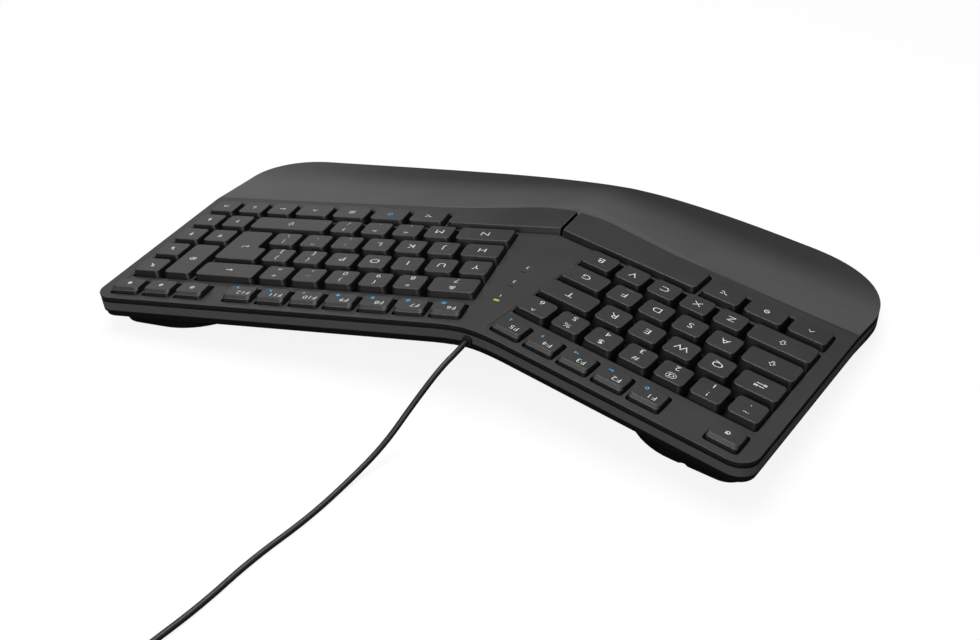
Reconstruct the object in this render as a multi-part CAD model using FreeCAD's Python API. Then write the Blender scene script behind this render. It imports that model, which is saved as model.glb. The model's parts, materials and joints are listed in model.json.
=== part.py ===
import FreeCAD, Part
import math
import os
from FreeCAD import Placement, Rotation, Vector

# Split gull-wing keyboard with a built-in palm rest, in millimetres.
# The user sits on the -Y side. The two key fields turn outwards and fall away from a ridge in the middle.
# Everything in a key field is drawn flat in that field's own frame and then placed:
# x runs along the rows from the field's inner end, y runs to the rear from row 0, z = 0 is the key tops.

# How the two key fields lie
YAW = 9.5                # each field turned outwards, degrees
TENT = 5.8               # each field's fall away from the ridge, degrees
PITCH = 3.2              # rise of both fields to the rear, degrees
FIELD_X = 22.1           # ridge to a field's inner end, at row 0
KEY_TOP_HEIGHT = 38.0    # desk to the key tops at a field's inner end, at row 0
RIDGE_RADIUS = 70.0      # soft ridge between the two decks

# Key grid
UNIT = 19.05             # one key
KEY_GAP = 2.4            # between two key skirts
TOP_INSET_X = 1.8        # key top inside its grid cell, each side
TOP_INSET_Y = 2.65       # key top inside its grid cell, front and rear
CAP_CORNER = 2.4
SKIRT_CORNER = 1.6
TOP_EDGE = 0.4           # rounding of a key's top edge
LEFT_SPAN = 7.25         # units
RIGHT_SPAN = 10.5
EDGE_UNITS = 8.5         # right field, inner end to the navigation columns
LEFT_SHORT = 0.18        # the left field's upper rows end this far short of its inner end

# Rows of the left field: first key starts at the outer end, the last one reaches the inner end
TAB_UNITS = 1.34
CAPS_UNITS = 1.64
SHIFT_UNITS = 1.97
MODIFIER_UNITS = 1.27
# First keys of the right field's rows, from the inner end
FIRST_7_UNITS = 1.5
FIRST_Y_UNITS = 0.99
FIRST_H_UNITS = 1.31
FIRST_N_UNITS = 1.82

# Function row
FUNCTION_FRONT = 4.69    # units
FUNCTION_REAR = 5.43
FUNCTION_DROP = 0.5      # its tops lie below the others
FUNCTION_FRONT_INSET = 2.1
FUNCTION_REAR_INSET = 2.5
FUNCTION_BEND_HEIGHT = 1.8   # its rear face bends this far below its top
FUNCTION_BEND_INSET = 0.9
FUNCTION_BEND_CORNER = 1.9
FUNCTION_FIRST_LEFT = 2.05
FUNCTION_FIRST_RIGHT = 0.03
FUNCTION_LEFT_KEYS = 5
FUNCTION_RIGHT_KEYS = 7
SYSTEM_FIRST_RIGHT = 7.53
SYSTEM_KEYS = 3

# Space bars: front edge bowed towards the thumbs, inner ends meeting at the ridge
SPACE_SPLIT_X = -1.8     # from the ridge
SPACE_SPLIT_GAP = 2.2
SPACE_FRONT = 0.76       # units in front of row 0's middle, at the outer end
SPACE_BOW = 1.14         # the same, at the fullest point
SPACE_BOW_X = 0.40       # that point, from the field's inner end
SPACE_INNER_FRONT = 0.80
SPACE_INNER_REACH = 2.2  # drawn past the split, then cut there
SPACE_BOW_RADIUS = 60.0
SPACE_STEM = 1.15        # main stem, from the field's inner end
SPACE_GUIDES_RIGHT = (0.25, 2.0)
SPACE_GUIDES_LEFT = (0.25, 2.9)

# Heights below the key tops, square to the field
DECK_DROP = 3.0          # surface of the case
RECESS = 0.3             # key field sunk in the deck
RECESS_MARGIN = 0.8
RECESS_REAR_MARGIN = 2.3
RECESS_CORNER = 4.0
CAP_HEIGHT = 6.6
CAP_ROOF = 1.5
CAP_WALL = 1.2
TRAVEL = 3.0
TRAVEL_CLEARANCE = 0.3
GUIDE_PLATE = 1.1
MAT = 0.5
SHEET = 0.2
BACKING = 0.7

# Stems, guides and domes
STEM = 5.0
STEM_RIB = 1.4          # the stem is a cross of two ribs
GUIDE_CLEARANCE = 0.35
GUIDE_WALL = 1.0
GUIDE_RISE = 3.9
GUIDE_FROM_END = 7.5     # extra guides of long keys, from the key's end
LONG_KEY = 1.75          # units, from which a key has extra guides
DOME_BASE = 5.2
DOME_TOP = 3.4
DOME_WALL = 0.6
DOME_REST_GAP = 0.1
CONTACT_HOLE = 4.0       # in the spacer sheet

# Case
SIDE_BORDER = 7.4        # outer keys to the case edge
REAR_BORDER = 5.2        # function row to the case edge
REAR_CORNER = 11.0
APEX_RADIUS = 120.0
NOSE_Y = -134.0          # where the two front lines would meet
FRONT_ANGLE = 17.5
NOSE_RADIUS = 310.0
FRONT_CORNER = 40.0      # right
FRONT_CORNER_LEFT = 74.0
SKIN = 2.2
LIP = 1.4                # visible edge of the top case
SEAM = 1.9               # dark groove under it
SEAM_DEPTH = 0.8
BAND = 6.2               # visible edge of the bottom case
CASE_WALL = 2.4
FLOOR_WALL = 2.2
BELLY_INSET = 1.0
UNDERSIDE_HEIGHT = 1.2   # desk to the underside, which is the rubber feet's thickness
EDGE_ROUND = 0.8

# Palm rest
CREASE_Y = -18.7         # at the ridge, before the bow
CREASE_BOW = 15.0
CREASE_BOW_WIDTH = 75.0
PALM_SLOPE = 0.125       # at the crease
FRONT_EDGE_HEIGHT = 5.0
PALM_REAR_Y = 200.0
PALM_STATIONS = [5, 10, 18, 30, 46, 66, 90, 120, 150, 185, 220, 255]   # each side of the ridge
PALM_OVERRUN = 1.25      # sections run on past the front edge
PALM_OVERLAP = 12.0      # and behind the crease

# Openings and clearances
KEY_OPENING_GAP = 0.4
RIB = 1.2                # walls round the key openings, down to the guide plates
RIB_REACH = 3.0          # the function row's ribs run on to the rear wall
STACK_GAP = 0.06         # between sandwiched layers and what holds them
PART_GAP = 0.3

# Layers under the keys
LAYER_INNER = -1.5       # their inner edge, in the field
LAYER_OUTER = 2.5        # past the outer keys
LAYER_REAR_GAP = 3.0     # to the case's wall
LAYER_FRONT = -16.0
TAIL_LENGTH = 8.0        # of the circuit sheets' tails, under the controller board
TAIL_WIDTH = 12.0
TAIL_Y = 36.0

# Controller board and lamps, measured from the ridge
BOARD_FRONT = 22.0
BOARD_REAR = 86.0
BOARD_FRONT_HALF = 13.5
BOARD_REAR_HALF = 3.6
BOARD_TOP = -9.6
BOARD = 1.6
CHIP_SIZE = 9.0
CHIP_HEIGHT = 1.2
LAMP_X = -1.4
LAMP_Y = (49.5, 64.3, 79.5)
LAMP_SIZE = 2.0
LAMP_HEIGHT = 0.9
LENS_LENGTH = 3.2
LENS_WIDTH = 1.5
LENS_FLANGE = 0.8
LENS_FLANGE_HEIGHT = 0.7
LENS_GAP = 0.15          # flange to the deck's underside
POST_RADIUS = 2.0
CONNECTOR_X = (7.0, 11.0)  # for the circuit sheets' tails
CONNECTOR_LIFT = 0.4

# Pods under the case, which carry the rear: inner end, outer end, front and rear in each field, in units
POD_RIGHT = (7.09, 10.68, 0.6, 5.17)
POD_LEFT = (-3.25, -7.22, 0.6, 5.01)
POD_CORNER = 12.0
POD_INNER_CORNER = 40.0  # at the rear
POD_WALL = 2.0
POD_RIB = 1.6

# Folding feet, one under each pod
FOOT_LENGTH = 15.0
FOOT_WIDTH = 36.0
FOOT_HEIGHT = 5.0
FOOT_FROM_REAR = 13.0    # hinge to the pod's rear face
FOOT_FROM_SIDE = 28.0    # its middle to the pod's outer end
FOOT_GAP = 0.5
FOOT_PIN = 1.5           # radius
FOOT_PIN_REACH = 3.0
FOOT_POCKET_WALL = 1.8
FOOT_OPEN = 75.0         # degrees

# Rubber pads
PAD_LENGTH = 34.0
PAD_WIDTH = 7.0
FRONT_PAD_X = (-92.0, 0.0, 120.0)
FRONT_PAD_INSET = 4.5
POD_PAD_INSET = 9.0

# Screws, from below
SCREW_RADIUS = 1.3
SCREW_HEAD_RADIUS = 2.7
SCREW_HEAD = 1.6
SCREW_SEAT = 1.6         # case left above the head
SCREW_GRIP = 5.0         # in the boss
BOSS_RADIUS = 3.3
POST_WALL = 1.6
POST_RISE = 2.6          # the lower case's posts rise this far above the floor
SCREWS_PALM_X = (-128.0, -46.0, 62.0, 158.0)
SCREWS_PALM_FRONT = 32.0 # in front of the crease
SCREW_ISLAND_Y = 12.0
SCREW_REAR_Y = 5.1       # units
SCREW_REAR_LEFT = -5.73
SCREW_REAR_RIGHT = 7.29

# Cable
CABLE = 2.8              # diameter
GROMMET_X = -1.0
GROMMET_Z = 34.4
GROMMET_WALL = 1.1
GROMMET_COLLAR = 3.1     # radius, inside the case's wall
GROMMET_COLLAR_LENGTH = 1.4
GROMMET_PROUD = 1.6
GROMMET_BORE_GAP = 0.05
# The cable's way from the grommet to its coil, in the ridge's frame
CABLE_ROUTE = [
    (-1.0, 100.0, 34.4), (-1.0, 116.5, 34.4), (2.0, 128.0, 28.6), (7.0, 145.0, 17.0), (13.0, 163.0, 6.0),
    (19.0, 186.0, 1.4), (22.0, 212.0, 1.4), (29.0, 240.0, 1.4), (32.0, 268.0, 1.4), (38.0, 295.0, 2.0),
    (40.0, 318.0, 2.3), (40.6, 334.0, 2.3),
]
COIL_LAYERS = 4
COIL_QUARTERS = 11       # quarter turns in each layer
COIL_MIDDLE = 16.4       # radius at the middle of the turns
COIL_GAP = 0.6           # between turns
COIL_TAIL_RADIUS = 18.0
TIE_WALL = 0.8
TIE_WIDTH = 7.0
TIE_ANGLE = -62.0        # degrees, from where the cable enters
TIE_GAP = 0.6
TIE_HEAD = 2.4

# USB plug
PLUG_LENGTH = 26.0
PLUG_WIDTH = 15.4
PLUG_HEIGHT = 8.4
PLUG_CORNER = 2.4
RELIEF_LENGTH = 7.0
RELIEF_RADIUS = 2.4
PLUG_SHELL_LENGTH = 13.0
PLUG_SHELL_WIDTH = 12.0
PLUG_SHELL_HEIGHT = 4.5
PLUG_SHELL_WALL = 0.35
PLUG_TONGUE = 1.9


CAP_BOTTOM = -CAP_HEIGHT
PLATE_TOP = CAP_BOTTOM - TRAVEL - TRAVEL_CLEARANCE
MAT_TOP = PLATE_TOP - GUIDE_PLATE
SHEETS_TOP = MAT_TOP - MAT
BACKING_TOP = SHEETS_TOP - 3 * SHEET
STACK_BOTTOM = BACKING_TOP - BACKING
DOME_ROOF = SHEETS_TOP + TRAVEL      # inside of a dome, which is pressed down to the sheets
STEM_BOTTOM = DOME_ROOF + DOME_WALL + DOME_REST_GAP
UPRIGHT = math.cos(math.radians(PITCH)) * math.cos(math.radians(TENT))
CASE_FLOOR_DROP = (-STACK_BOTTOM + STACK_GAP - DECK_DROP) / UPRIGHT
BELLY_DROP = CASE_FLOOR_DROP + FLOOR_WALL
BAND_TOP_DROP = LIP + SEAM
BAND_BOTTOM_DROP = BAND_TOP_DROP + BAND
HUGE = 400.0
Z_AXIS = Vector(0, 0, 1)


def field_placement(side):
    """Frame of a key field: side is +1 for the right one and -1 for the left one."""
    turn = Rotation(Vector(1, 0, 0), PITCH)
    turn = turn * Rotation(Z_AXIS, side * YAW) * Rotation(Vector(0, 1, 0), side * TENT)
    return Placement(Vector(side * FIELD_X, 0, KEY_TOP_HEIGHT), turn)


FIELD = {side: field_placement(side) for side in (1, -1)}


def to_world(side, x, y, z=0.0):
    return FIELD[side].multVec(Vector(x, y, z))


def place(shape, side):
    """Move a shape that was drawn flat into its key field."""
    placed = shape.copy()
    placed.Placement = FIELD[side].multiply(placed.Placement)
    return placed


def rounded_wire(points, radii, z):
    """Closed outline through corners, each rounded by its own radius."""
    count = len(points)
    corners = []
    for i in range(count):
        here = Vector(points[i][0], points[i][1], z)
        before = Vector(points[i - 1][0], points[i - 1][1], z) - here
        after = Vector(points[(i + 1) % count][0], points[(i + 1) % count][1], z) - here
        before.normalize()
        after.normalize()
        half = before.getAngle(after) / 2
        reach = radii[i] / math.tan(half)
        middle = (before + after).normalize()
        centre = here + middle * (radii[i] / math.sin(half))
        corners.append((here + before * reach, centre - middle * radii[i], here + after * reach))
    edges = []
    for i in range(count):
        start, top, end = corners[i]
        edges.append(Part.Arc(start, top, end).toShape())
        following = corners[(i + 1) % count][0]
        if (following - end).Length > 1e-4:
            edges.append(Part.LineSegment(end, following).toShape())
    return Part.Wire(edges)


def slab(points, radii, low, high):
    """Flat piece with a rounded outline between two heights."""
    face = Part.Face(rounded_wire(points, radii, low))
    return face.extrude(Vector(0, 0, high - low))


def box(x0, x1, y0, y1, z0, z1):
    return Part.makeBox(x1 - x0, y1 - y0, z1 - z0, Vector(x0, y0, z0))


def fuse(shapes):
    shapes = list(shapes)
    if len(shapes) == 1:
        return shapes[0]
    return shapes[0].multiFuse(shapes[1:]).removeSplitter()


def cut(shape, tools):
    return shape.cut(Part.makeCompound(list(tools)))


def line_crossing(p, along_p, q, along_q):
    """Where two lines of the plan meet."""
    cross = along_p.x * along_q.y - along_p.y * along_q.x
    step = ((q.x - p.x) * along_q.y - (q.y - p.y) * along_q.x) / cross
    return Vector(p.x + along_p.x * step, p.y + along_p.y * step, 0)


# Plan of the case

def case_corners():
    """Six corners of the plan, anticlockwise from the rear right, measured from the ridge."""
    rear = FUNCTION_REAR * UNIT + REAR_BORDER
    sides = {1: RIGHT_SPAN * UNIT + SIDE_BORDER, -1: -(LEFT_SPAN * UNIT + SIDE_BORDER)}
    corner, middle, forward = {}, {}, {}
    for side in (1, -1):
        corner[side] = to_world(side, sides[side], rear, -DECK_DROP)
        middle[side] = to_world(side, 0, rear, -DECK_DROP)
        forward[side] = corner[side] - to_world(side, sides[side], 0, -DECK_DROP)
    apex = line_crossing(corner[1], corner[1] - middle[1], corner[-1], corner[-1] - middle[-1])
    nose = Vector(0, NOSE_Y, 0)
    rise = math.tan(math.radians(FRONT_ANGLE))
    front = {s: line_crossing(corner[s], forward[s], nose, Vector(s, rise, 0)) for s in (1, -1)}
    return [corner[1], apex, corner[-1], front[-1], nose, front[1]]


CORNERS = [(p.x, p.y) for p in case_corners()]
CORNER_RADII = [REAR_CORNER, APEX_RADIUS, REAR_CORNER, FRONT_CORNER_LEFT, NOSE_RADIUS, FRONT_CORNER]
OUTLINE = Part.Face(rounded_wire(CORNERS, CORNER_RADII, 0))


def plan(inset, low=-10.0, high=80.0):
    """Upright prism of the case's plan, drawn in by a distance."""
    face = OUTLINE if inset == 0 else OUTLINE.makeOffset2D(-inset)
    base = face.copy()
    base.translate(Vector(0, 0, low))
    return base.extrude(Vector(0, 0, high - low))


# Upper surface of the case: two decks with a soft ridge, and the palm rest

def deck_height(x, y):
    """Height of the deck over a point of the plan."""
    heights = []
    for side in (1, -1):
        base = to_world(side, 0, 0, -DECK_DROP)
        normal = FIELD[side].Rotation.multVec(Z_AXIS)
        heights.append(base.z - (normal.x * (x - base.x) + normal.y * (y - base.y)) / normal.z)
    kink = RIDGE_RADIUS * math.tan(math.radians(TENT)) * math.tan(math.radians(TENT)) * 2
    apart = abs(heights[0] - heights[1])
    return min(heights) - max(kink - apart, 0) ** 2 / (4 * kink)


def deck_roof():
    """Everything below the two decks."""
    halves = []
    for side in (1, -1):
        half = Part.makeBox(2 * HUGE, 2 * HUGE, HUGE, Vector(-HUGE, -HUGE, -HUGE - DECK_DROP))
        halves.append(place(half, side))
    roof = halves[0].common(halves[1])
    ridge = [e for e in roof.Edges if e.BoundBox.XLength < 60 and e.BoundBox.YLength > HUGE
             and e.BoundBox.ZMin > 0 and abs(e.CenterOfMass.x) < 20]
    return roof.makeFillet(RIDGE_RADIUS, ridge)


def crease_y(x):
    bow = CREASE_BOW * math.exp(-(x / CREASE_BOW_WIDTH) ** 2)
    return CREASE_Y + abs(x) * math.tan(math.radians(YAW)) - bow


def front_y(x):
    rise = math.tan(math.radians(FRONT_ANGLE))
    sagitta = NOSE_RADIUS * (1 / math.cos(math.radians(FRONT_ANGLE)) - 1)
    return NOSE_Y + math.hypot(rise * x, sagitta)


def palm_section(x):
    """Upright section of the space below the palm rest's surface, which rises over the decks to the rear."""
    back = crease_y(x)
    length = back - front_y(x)
    top = deck_height(x, back)
    bend = (top - FRONT_EDGE_HEIGHT - PALM_SLOPE * length) / length ** 2

    def on_surface(t):
        return Vector(x, back - t, top - PALM_SLOPE * t - bend * t * t)

    start, end = on_surface(-PALM_OVERLAP), on_surface(PALM_OVERRUN * length)
    slope = PALM_SLOPE - 2 * bend * PALM_OVERLAP
    half = (start.y - end.y) / 2
    curve = Part.BezierCurve()
    curve.setPoles([start, Vector(x, start.y - half, start.z - slope * half), end])
    rear = Vector(x, PALM_REAR_Y, start.z + PALM_SLOPE * (PALM_REAR_Y - start.y))
    foot = [Vector(x, end.y, -HUGE), Vector(x, rear.y, -HUGE)]
    lines = [(end, foot[0]), (foot[0], foot[1]), (foot[1], rear), (rear, start)]
    return Part.Wire([curve.toShape()] + [Part.LineSegment(p, q).toShape() for p, q in lines])


def palm_roof():
    """Everything below the palm rest's surface."""
    stations = [-x for x in reversed(PALM_STATIONS)] + [0] + PALM_STATIONS
    return Part.makeLoft([palm_section(x) for x in stations], True, False)


DECK_ROOF = deck_roof()
PALM_ROOF = palm_roof()


ROOF = DECK_ROOF.common(PALM_ROOF)


def roof(drop):
    """Everything below the case's upper surface, lowered by a distance."""
    return ROOF.translated(Vector(0, 0, -drop))


# Keys: cells of the grid, as polygons in millimetres

def letters(names):
    return [("key_" + name, 1) for name in names]


LEFT_ROW = LEFT_SPAN - LEFT_SHORT
LEFT_ROWS = [
    (4, 0, [("number_keys_left", 1)] * 6 + [("number_keys_left", LEFT_ROW - 6)]),
    (3, 0, [("control_keys_left", TAB_UNITS)] + letters("qwer") + [("key_t", LEFT_ROW - TAB_UNITS - 4)]),
    (2, 0, [("control_keys_left", CAPS_UNITS)] + letters("asdf") + [("key_g", LEFT_ROW - CAPS_UNITS - 4)]),
    (1, 0, [("control_keys_left", SHIFT_UNITS)] + letters("zxcv") + [("key_b", LEFT_ROW - SHIFT_UNITS - 4)]),
    (0, 0, [("control_keys_left", MODIFIER_UNITS)] * 3),
]
UPPER_ENTER = FIRST_Y_UNITS + 6
LOWER_ENTER = FIRST_H_UNITS + 6
RIGHT_MODIFIERS = EDGE_UNITS - 1 - 4 * MODIFIER_UNITS
RIGHT_ROWS = [
    (4, 0, [("number_keys_right", FIRST_7_UNITS)] + [("number_keys_right", 1)] * 5
        + [("backspace_key", EDGE_UNITS - FIRST_7_UNITS - 5)]),
    (3, 0, [("key_y", FIRST_Y_UNITS)] + letters("uiop") + [("symbol_keys_right", 1)] * 2),
    (2, 0, [("key_h", FIRST_H_UNITS)] + letters("jkl") + [("symbol_keys_right", 1)] * 3),
    (1, 0, [("key_n", FIRST_N_UNITS)] + letters("m") + [("symbol_keys_right", 1)] * 3
        + [("modifier_keys_right", EDGE_UNITS - FIRST_N_UNITS - 4)]),
    (0, RIGHT_MODIFIERS, [("modifier_keys_right", MODIFIER_UNITS)] * 4 + [("navigation_keys", 1)] * 3),
    (1, EDGE_UNITS, [("navigation_keys", 1)] * 2),
    (2, EDGE_UNITS, [("navigation_keys", 1)] * 2),
    (3, EDGE_UNITS + 1, [("navigation_keys", 1)]),
    (4, EDGE_UNITS + 1, [("navigation_keys", 1)]),
]


def rectangle(x0, x1, y0, y1):
    return [(x0, y0), (x1, y0), (x1, y1), (x0, y1)]


def in_units(x0, x1, y0, y1):
    return rectangle(x0 * UNIT, x1 * UNIT, y0 * UNIT, y1 * UNIT)


def extent(points):
    xs = [x for x, y in points]
    ys = [y for x, y in points]
    return min(xs), max(xs), min(ys), max(ys)


def inset_polygon(points, side, front, rear):
    """Move each edge of an anticlockwise polygon inwards, by how it faces."""
    shifted = []
    for i, (x, y) in enumerate(points):
        next_x, next_y = points[(i + 1) % len(points)]
        along = Vector(next_x - x, next_y - y, 0).normalize()
        inward = Vector(-along.y, along.x, 0)
        distance = abs(inward.x) * side + max(inward.y, 0) * front + max(-inward.y, 0) * rear
        shifted.append((Vector(x, y, 0) + inward * distance, along))
    corners = [line_crossing(*shifted[i - 1], *shifted[i]) for i in range(len(points))]
    return [(p.x, p.y) for p in corners]


def space_cell(side):
    """Cell of one space bar, running on past the split."""
    outer = RIGHT_MODIFIERS if side == 1 else LEFT_SPAN - 3 * MODIFIER_UNITS
    points = [(-SPACE_INNER_REACH, 0.5), (-SPACE_INNER_REACH, -SPACE_INNER_FRONT),
              (-SPACE_BOW_X, -SPACE_BOW), (outer, -SPACE_FRONT), (outer, 0.5)]
    cell = [(side * x * UNIT, y * UNIT) for x, y in points]
    return cell if side == 1 else cell[::-1]


# Each key: node, side, cell, kind
KEYS = []
for side, rows, start in ((-1, LEFT_ROWS, -LEFT_SPAN), (1, RIGHT_ROWS, 0)):
    for row, first, cells in rows:
        x = start + first
        for node, units in cells:
            KEYS.append((node, side, in_units(x, x + units, row - 0.5, row + 0.5), "plain"))
            x += units
KEYS.append(("enter_key", 1, [(x * UNIT, y * UNIT) for x, y in [
    (UPPER_ENTER, 2.5), (LOWER_ENTER, 2.5), (LOWER_ENTER, 1.5),
    (EDGE_UNITS, 1.5), (EDGE_UNITS, 3.5), (UPPER_ENTER, 3.5)]], "plain"))
KEYS.append(("navigation_keys", 1, in_units(EDGE_UNITS, EDGE_UNITS + 1, 2.5, 4.5), "plain"))
FUNCTION_GROUPS = [
    ("function_keys_left", -1, -LEFT_SPAN, 1),
    ("function_keys_left", -1, -LEFT_SPAN + FUNCTION_FIRST_LEFT, FUNCTION_LEFT_KEYS),
    ("function_keys_right", 1, FUNCTION_FIRST_RIGHT, FUNCTION_RIGHT_KEYS),
    ("function_keys_right", 1, SYSTEM_FIRST_RIGHT, SYSTEM_KEYS),
]
for node, side, start, count in FUNCTION_GROUPS:
    for i in range(count):
        KEYS.append((node, side, in_units(start + i, start + i + 1, FUNCTION_FRONT, FUNCTION_REAR), "function"))
for node, side in (("space_left", -1), ("space_right", 1)):
    KEYS.append((node, side, space_cell(side), "space"))


def cap_sections(kind, wall=0.0):
    """Heights of a cap's sections with their insets at the sides, front and rear, and their corners."""
    half = KEY_GAP / 2
    if kind == "function":
        top = -FUNCTION_DROP
        skirt = (CAP_BOTTOM, half, 0.0, 0.0, SKIRT_CORNER)
        share = 1 - (FUNCTION_BEND_HEIGHT - FUNCTION_DROP) / (CAP_HEIGHT - FUNCTION_DROP)
        bend = (-FUNCTION_BEND_HEIGHT, half + (TOP_INSET_X - half) * share, FUNCTION_FRONT_INSET * share,
                FUNCTION_BEND_INSET, FUNCTION_BEND_CORNER)
        crown = (top, TOP_INSET_X, FUNCTION_FRONT_INSET, FUNCTION_REAR_INSET, CAP_CORNER)
        sections = [skirt, bend, crown]
    else:
        skirt = (CAP_BOTTOM, half, half, half, SKIRT_CORNER)
        crown = (0.0, TOP_INSET_X, TOP_INSET_Y, TOP_INSET_Y, CAP_CORNER)
        sections = [skirt, crown]
    if wall:
        inner = [sections[0], sections[-1]]
        return [(z - (CAP_ROOF if i else 0), a + wall, f + wall, r + wall, CAP_CORNER / 2)
                for i, (z, a, f, r, corner) in enumerate(inner)]
    return sections


def cap_body(cell, kind, wall=0.0):
    wires = []
    for z, side_inset, front, rear, corner in cap_sections(kind, wall):
        points = inset_polygon(cell, side_inset, front, rear)
        radii = [corner] * len(points)
        if kind == "space":
            bow = max(range(len(points)), key=lambda i: -points[i][1])
            radii[bow] = SPACE_BOW_RADIUS
        wires.append(rounded_wire(points, radii, z))
    return Part.makeLoft(wires, True, True)


def stem_spots(side, cell, kind):
    """The main stem, over its dome, and the extra guides of a long key."""
    if kind == "space":
        guides = SPACE_GUIDES_RIGHT if side == 1 else SPACE_GUIDES_LEFT
        row = 0.0
        return (side * SPACE_STEM * UNIT, row), [(side * x * UNIT, row) for x in guides]
    x0, x1, y0, y1 = extent(cell)
    if kind == "function":
        y0, y1 = y0 + FUNCTION_FRONT_INSET, y1 - FUNCTION_REAR_INSET
    if len(cell) == 6:
        x0 = LOWER_ENTER * UNIT
    middle = ((x0 + x1) / 2, (y0 + y1) / 2)
    guides = []
    if x1 - x0 >= LONG_KEY * UNIT:
        guides = [(x, middle[1]) for x in (x0 + GUIDE_FROM_END, x1 - GUIDE_FROM_END)]
    if y1 - y0 >= LONG_KEY * UNIT:
        guides = [(middle[0], y) for y in (y0 + GUIDE_FROM_END, y1 - GUIDE_FROM_END)]
    return middle, guides


def stem(x, y, top):
    half, rib = STEM / 2, STEM_RIB / 2
    along = box(x - half, x + half, y - rib, y + rib, STEM_BOTTOM, top)
    across = box(x - rib, x + rib, y - half, y + half, STEM_BOTTOM, top)
    return along.fuse(across)


def split_side(side, margin):
    """The space on one side of the upright plane between the space bars."""
    x = SPACE_SPLIT_X + side * (SPACE_SPLIT_GAP / 2 + margin)
    half = Part.makeBox(HUGE, 2 * HUGE, 2 * HUGE, Vector(x if side == 1 else x - HUGE, -HUGE, -HUGE))
    half.Placement = FIELD[side].inverse()
    return half


def key_cap(side, cell, kind):
    """One cap with its stems, drawn flat in its field."""
    body = cap_body(cell, kind)
    hollow = cap_body(cell, kind, CAP_WALL)
    crown = cap_sections(kind)[-1][0]
    rim = [e for e in body.Edges if e.BoundBox.ZMin > crown - 0.01]
    body = body.makeFillet(TOP_EDGE, rim)
    if kind == "space":
        body = body.common(split_side(side, 0.0))
        hollow = hollow.common(split_side(side, CAP_WALL))
    main, guides = stem_spots(side, cell, kind)
    stems = [stem(x, y, crown - CAP_ROOF) for x, y in [main] + guides]
    return body.cut(hollow).multiFuse(stems).removeSplitter()


def key_nodes():
    """Solids of each node of keys. Keys of one size are copies of one another."""
    nodes, made = {}, {}
    for node, side, cell, kind in KEYS:
        origin = Vector(cell[0][0], cell[0][1], 0)
        size = (kind, side if kind == "space" else 0) + tuple(
            (round(x - origin.x, 6), round(y - origin.y, 6)) for x, y in cell)
        if size not in made:
            made[size] = key_cap(side, cell, kind).translated(-origin)
        nodes.setdefault(node, []).append(place(made[size].translated(origin), side))
    return nodes


# Openings in the deck

def opening_groups():
    """Outlines of the deck's openings under the function row, without their clearance: side and polygons."""
    edge = KEY_GAP / 2
    groups = []
    groups.append((-1, in_units(-LEFT_SPAN, -LEFT_SHORT, 0.5, 4.5)))
    groups.append((-1, in_units(-LEFT_SPAN, -LEFT_SPAN + 3 * MODIFIER_UNITS, -0.5, 0.5)))
    groups.append((1, in_units(0, EDGE_UNITS, 0.5, 4.5)))
    groups.append((1, in_units(RIGHT_MODIFIERS, RIGHT_SPAN, -0.5, 0.5)))
    groups.append((1, in_units(EDGE_UNITS, RIGHT_SPAN, 0.5, 4.5)))
    for side in (-1, 1):
        groups.append((side, space_cell(side)))
    return [(side, inset_polygon(cell, edge, edge, edge)) for side, cell in groups]


def function_blocks():
    """Outlines round each group of function keys."""
    blocks = []
    for node, side, start, count in FUNCTION_GROUPS:
        block = in_units(start, start + count, FUNCTION_FRONT, FUNCTION_REAR)
        blocks.append((side, inset_polygon(block, KEY_GAP / 2, 0, 0)))
    return blocks


def function_openings():
    """Outlines of the function keys' openings, one for each key."""
    cells = [(side, cell) for node, side, cell, kind in KEYS if kind == "function"]
    return [(side, inset_polygon(cell, KEY_GAP / 2, 0, 0)) for side, cell in cells]


def opening(side, points, margin, low, high, corner=SKIRT_CORNER):
    wide = inset_polygon(points, -margin, -margin, -margin)
    return place(slab(wide, [corner + margin] * len(wide), low, high), side)


def recesses():
    """Shallow pockets of the deck round each field, and the space bars' own."""
    reach = KEY_OPENING_GAP + RECESS_MARGIN
    edge = KEY_GAP / 2
    pockets = []
    for side, x0, x1 in ((-1, -LEFT_SPAN, -LEFT_SHORT), (1, 0, RIGHT_SPAN)):
        field = in_units(x0, x1, -0.5, FUNCTION_REAR)
        field = inset_polygon(field, edge, edge, RECESS_MARGIN - RECESS_REAR_MARGIN)
        pockets.append(opening(side, field, reach, -DECK_DROP - RECESS, 5.0, RECESS_CORNER))
        bar = inset_polygon(space_cell(side), edge, edge, edge)
        pockets.append(opening(side, bar, reach, -DECK_DROP - RECESS, 5.0))
    return pockets


# Screws and their posts: x, y and whether the layers are passed

def screw_spots():
    spots = []
    for x in SCREWS_PALM_X:
        spots.append((x, crease_y(x) - SCREWS_PALM_FRONT))
    spots.append((0.0, SCREW_ISLAND_Y))
    for side, x in ((-1, SCREW_REAR_LEFT), (1, SCREW_REAR_RIGHT)):
        spot = to_world(side, x * UNIT, SCREW_REAR_Y * UNIT, PLATE_TOP)
        spots.append((spot.x, spot.y))
    return spots


def surface_height(x, y):
    """Height of the case's upper surface over a point of the plan."""
    probe = Part.makeLine(Vector(x, y, -5), Vector(x, y, 75)).common(ROOF)
    return probe.BoundBox.ZMax


def cylinder(x, y, radius, low, high):
    return Part.makeCylinder(radius, high - low, Vector(x, y, low))


SCREWS = [(x, y, surface_height(x, y)) for x, y in screw_spots()]


def post_top(surface):
    return surface - CASE_FLOOR_DROP + POST_RISE


def screw(x, y, surface):
    seat = post_top(surface) - SCREW_SEAT
    head = cylinder(x, y, SCREW_HEAD_RADIUS, seat - SCREW_HEAD, seat)
    slot = box(x - SCREW_HEAD_RADIUS, x + SCREW_HEAD_RADIUS, y - 0.4, y + 0.4,
               seat - SCREW_HEAD, seat - SCREW_HEAD / 2)
    shank = cylinder(x, y, SCREW_RADIUS, seat, post_top(surface) + SCREW_GRIP)
    return head.cut(slot).fuse(shank).removeSplitter()


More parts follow.
